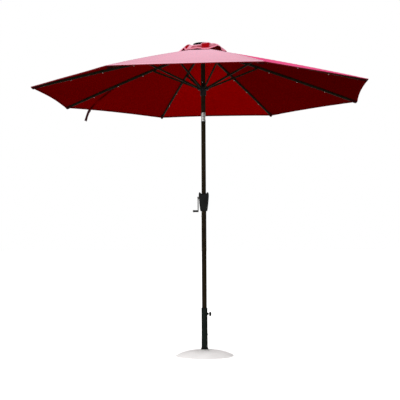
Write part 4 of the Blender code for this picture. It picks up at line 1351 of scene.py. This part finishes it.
def make_cord():
    low = RUNNER_Z + 0.0140 + GAP
    count, sides, radius = 90, 12, 0.0015
    rings, mesh = [], bmesh.new()
    layer = mesh.loops.layers.uv.new("flat")
    for i in range(count + 1):
        z = low + (CORD_TOP_Z - low) * i / count
        ring = []
        for n in range(sides):
            angle = 2 * math.pi * n / sides
            weave_height = 0.00010 * math.cos(4 * angle + z * 2600)
            r = radius - 0.0001 + weave_height
            ring.append(mesh.verts.new((r * math.cos(angle), CORD_Y + r * math.sin(angle), z)))
        rings.append(ring)
    for i, (here, there) in enumerate(zip(rings, rings[1:])):
        for n in range(sides):
            m = (n + 1) % sides
            face = mesh.faces.new((here[n], here[m], there[m], there[n]))
            spots = ((n, i), (n + 1, i), (n + 1, i + 1), (n, i + 1))
            for loop, (across, along) in zip(face.loops, spots):
                size = 2 * math.pi * radius / sides
                loop[layer].uv = (across * size, along * (CORD_TOP_Z - low) / count)
    mesh.faces.new(rings[0][::-1])
    mesh.faces.new(rings[-1])
    bmesh.ops.recalc_face_normals(mesh, faces=mesh.faces)
    made = piece("lift_cord_braid", mesh, BRAID, None, ["lift_cord"], 60)
    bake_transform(made)


# Setting

WORLD_LIGHT = 0.85
FLOOR_GLOW = 0.50


def make_setting():
    floor = bmesh.new()
    bmesh.ops.create_grid(floor, x_segments=1, y_segments=1, size=60)
    data = bpy.data.meshes.new("floor")
    floor.to_mesh(data)
    floor.free()
    ground = bpy.data.objects.new("floor", data)
    bpy.context.scene.collection.objects.link(ground)
    look = Look("studio_floor", 0.9, 0.0, 0.1)
    look.shader.inputs["Emission Color"].default_value = (1, 1, 1, 1)
    look.shader.inputs["Emission Strength"].default_value = FLOOR_GLOW
    data.materials.append(look.finish((0.93, 0.93, 0.93)))
    ground.location.z = -0.0005
    scene = bpy.context.scene
    world = bpy.data.worlds.new("studio")
    scene.world = world
    world.use_nodes = True
    nodes, links = world.node_tree.nodes, world.node_tree.links
    back = nodes["Background"]
    back.inputs["Color"].default_value = (1, 1, 1, 1)
    path = nodes.new("ShaderNodeLightPath")
    level = nodes.new("ShaderNodeMapRange")
    level.inputs["To Min"].default_value = WORLD_LIGHT
    level.inputs["To Max"].default_value = 1.0
    links.new(path.outputs["Is Camera Ray"], level.inputs["Value"])
    links.new(level.outputs["Result"], back.inputs["Strength"])
    scene.view_settings.view_transform = "Standard"
    area("key_light", (-4.2, -9.0, 3.2), (0, 0, 1.2), 3.0, 600)
    area("top_light", (0.5, 1.0, 8.0), (0, 0, 2.2), 4.0, 200)


def area(name, at, toward, size, power):
    """Soft round lamp that the camera doesn't see."""
    light = bpy.data.lights.new(name, "AREA")
    light.shape = "DISK"
    light.size = size
    light.energy = power
    made = bpy.data.objects.new(name, light)
    made.location = at
    made.rotation_euler = (Vector(toward) - Vector(at)).to_track_quat("-Z", "Y").to_euler()
    made.visible_camera = False
    bpy.context.scene.collection.objects.link(made)


CAMERA_LENS = 79.202
CAMERA_AT = (0.6694, -6.9015, 0.9138)
CAMERA_YAW, CAMERA_PITCH, CAMERA_ROLL = 5.7887, 92.5506, -0.3245


def make_camera():
    data = bpy.data.cameras.new("camera")
    data.lens = CAMERA_LENS
    data.sensor_width = 36
    data.clip_end = 200
    made = bpy.data.objects.new("camera", data)
    bpy.context.scene.collection.objects.link(made)
    yaw = Matrix.Rotation(math.radians(CAMERA_YAW), 4, "Z")
    pitch = Matrix.Rotation(math.radians(CAMERA_PITCH), 4, "X")
    roll = Matrix.Rotation(math.radians(CAMERA_ROLL), 4, "Z")
    made.matrix_world = Matrix.Translation(CAMERA_AT) @ yaw @ pitch @ roll
    bpy.context.scene.camera = made


def dress_rest():
    """Materials for the CAD pieces that keep their own shape."""
    looks = {
        "black_plastic": PLASTIC, "zinc_steel": STEEL, "bare_alloy": ALLOY, "coated_alloy": COATED,
        "grey_trim": GREY, "bronze_coat": BRONZE, "black_coat": BLACK, "cast_stone": STONE,
    }
    for node in frame["nodes"].values():
        slot = node.data.materials[0].name.split(".")[0]
        if slot in looks:
            node.data.materials[0] = looks[slot]


dress_rest()
make_camera()
make_setting()
make_base()
make_poles()
make_tilt()
make_crank()
make_top()
make_ribs()
make_canopy()
make_vent()
make_strap()
make_cord()
